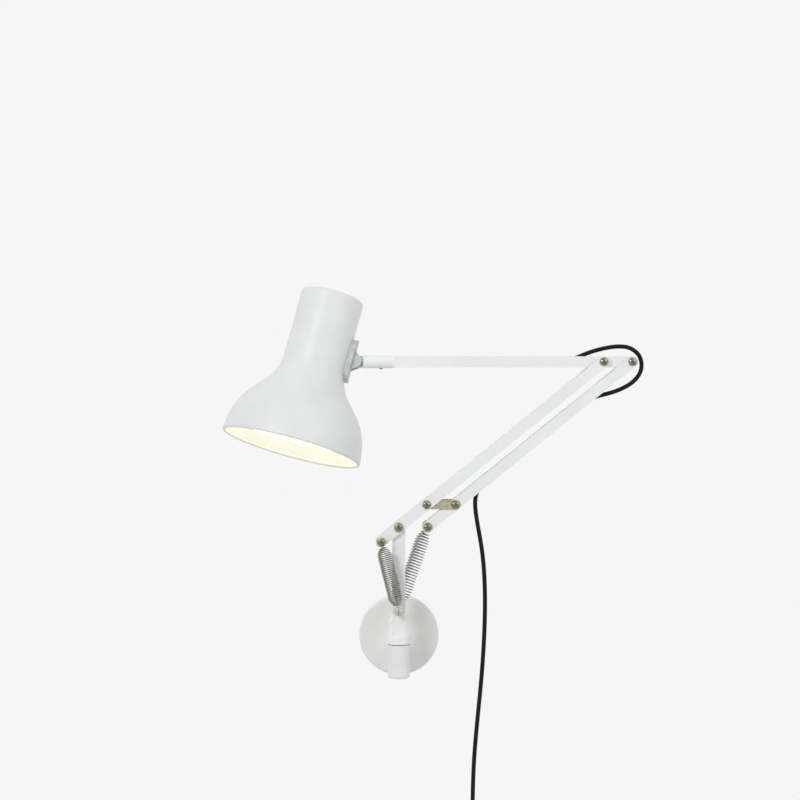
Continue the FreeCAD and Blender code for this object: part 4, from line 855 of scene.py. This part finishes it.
def backdrop():
    """The wall that the lamp hangs on: it takes shadows, looks plain, and is clear from behind."""
    mesh = bpy.data.meshes.new("wall")
    half = WALL_SIZE / 2
    corners = [(-half, -half), (half, -half), (half, half), (-half, half)]
    mesh.from_pydata([(x, WALL_GAP, z) for x, z in corners], [], [(0, 1, 2, 3)])
    wall = bpy.data.objects.new("wall", mesh)
    bpy.context.collection.objects.link(wall)
    material = shader("wall_paint", PALE, 0.9)
    mesh.materials.append(material)
    nodes = material.node_tree.nodes
    path = add(material, "ShaderNodeLightPath")
    seen = add(material, "ShaderNodeMath")
    seen.operation = "MAXIMUM"
    link(material, path.outputs["Is Camera Ray"], seen.inputs[0])
    link(material, path.outputs["Is Glossy Ray"], seen.inputs[1])
    glow = add(material, "ShaderNodeEmission", Color=(*PALE, 1), Strength=1.0)
    mix = add(material, "ShaderNodeMixShader")
    link(material, seen.outputs["Value"], mix.inputs["Fac"])
    link(material, nodes["Principled BSDF"].outputs["BSDF"], mix.inputs[1])
    link(material, glow.outputs["Emission"], mix.inputs[2])
    geometry = add(material, "ShaderNodeNewGeometry")
    behind = add(material, "ShaderNodeMath")
    behind.operation = "MULTIPLY"
    link(material, path.outputs["Is Camera Ray"], behind.inputs[0])
    link(material, geometry.outputs["Backfacing"], behind.inputs[1])
    clear = add(material, "ShaderNodeBsdfTransparent")
    through = add(material, "ShaderNodeMixShader")
    link(material, behind.outputs["Value"], through.inputs["Fac"])
    link(material, mix.outputs["Shader"], through.inputs[1])
    link(material, clear.outputs["BSDF"], through.inputs[2])
    link(material, through.outputs["Shader"], nodes["Material Output"].inputs["Surface"])


def area_lamp(name, place, aim, size, power):
    """A soft square lamp that points at a place."""
    data = bpy.data.lights.new(name, "AREA")
    data.energy = power
    data.size = size
    lamp = bpy.data.objects.new(name, data)
    lamp.location = place
    lamp.rotation_euler = (Vector(aim) - Vector(place)).to_track_quat("-Z", "Y").to_euler()
    bpy.context.collection.objects.link(lamp)
    return lamp


def studio():
    """The room's light: the camera sees it plain, the metal sees its far end dim."""
    world = bpy.data.worlds.new("studio")
    bpy.context.scene.world = world
    world.use_nodes = True
    nodes, links = world.node_tree.nodes, world.node_tree.links
    background = nodes["Background"]
    path = nodes.new("ShaderNodeLightPath")
    way = nodes.new("ShaderNodeTexCoord")
    parts = nodes.new("ShaderNodeSeparateXYZ")
    links.new(way.outputs["Generated"], parts.inputs["Vector"])
    room = nodes.new("ShaderNodeMapRange")
    room.inputs["From Min"].default_value = -1.0
    room.inputs["From Max"].default_value = -0.4
    room.inputs["To Min"].default_value = DIM_END
    room.inputs["To Max"].default_value = 1.0
    links.new(parts.outputs["Y"], room.inputs["Value"])
    gloss = nodes.new("ShaderNodeMapRange")
    gloss.inputs["To Min"].default_value = DIFFUSE_LEVEL
    links.new(path.outputs["Is Glossy Ray"], gloss.inputs["Value"])
    links.new(room.outputs["Result"], gloss.inputs["To Max"])
    level = nodes.new("ShaderNodeMapRange")
    level.inputs["To Max"].default_value = 1.0
    links.new(path.outputs["Is Camera Ray"], level.inputs["Value"])
    links.new(gloss.outputs["Result"], level.inputs["To Min"])
    links.new(level.outputs["Result"], background.inputs["Strength"])
    background.inputs["Color"].default_value = (*PALE, 1)
    area_lamp("key", (-1.0, -2.0, 1.1), MIDDLE, 0.7, 16.8)
    area_lamp("fill", (1.5, -1.8, 1.2), MIDDLE, 1.5, 9.8)


def lamp_light():
    """The lit lamp, inside the shade."""
    data = bpy.data.lights.new("lamp_light", "POINT")
    data.energy = 0.02
    data.color = (1.0, 0.95, 0.85)
    data.shadow_soft_size = 0.02
    light = bpy.data.objects.new("lamp_light", data)
    bpy.context.collection.objects.link(light)
    light.location = SHADE @ Vector((0, 0, LAMP_HEIGHT))
    light.parent = frame["bodies"]["head"]
    light.matrix_parent_inverse = frame["bodies"]["head"].matrix_world.inverted()


backdrop()
studio()
lamp_light()
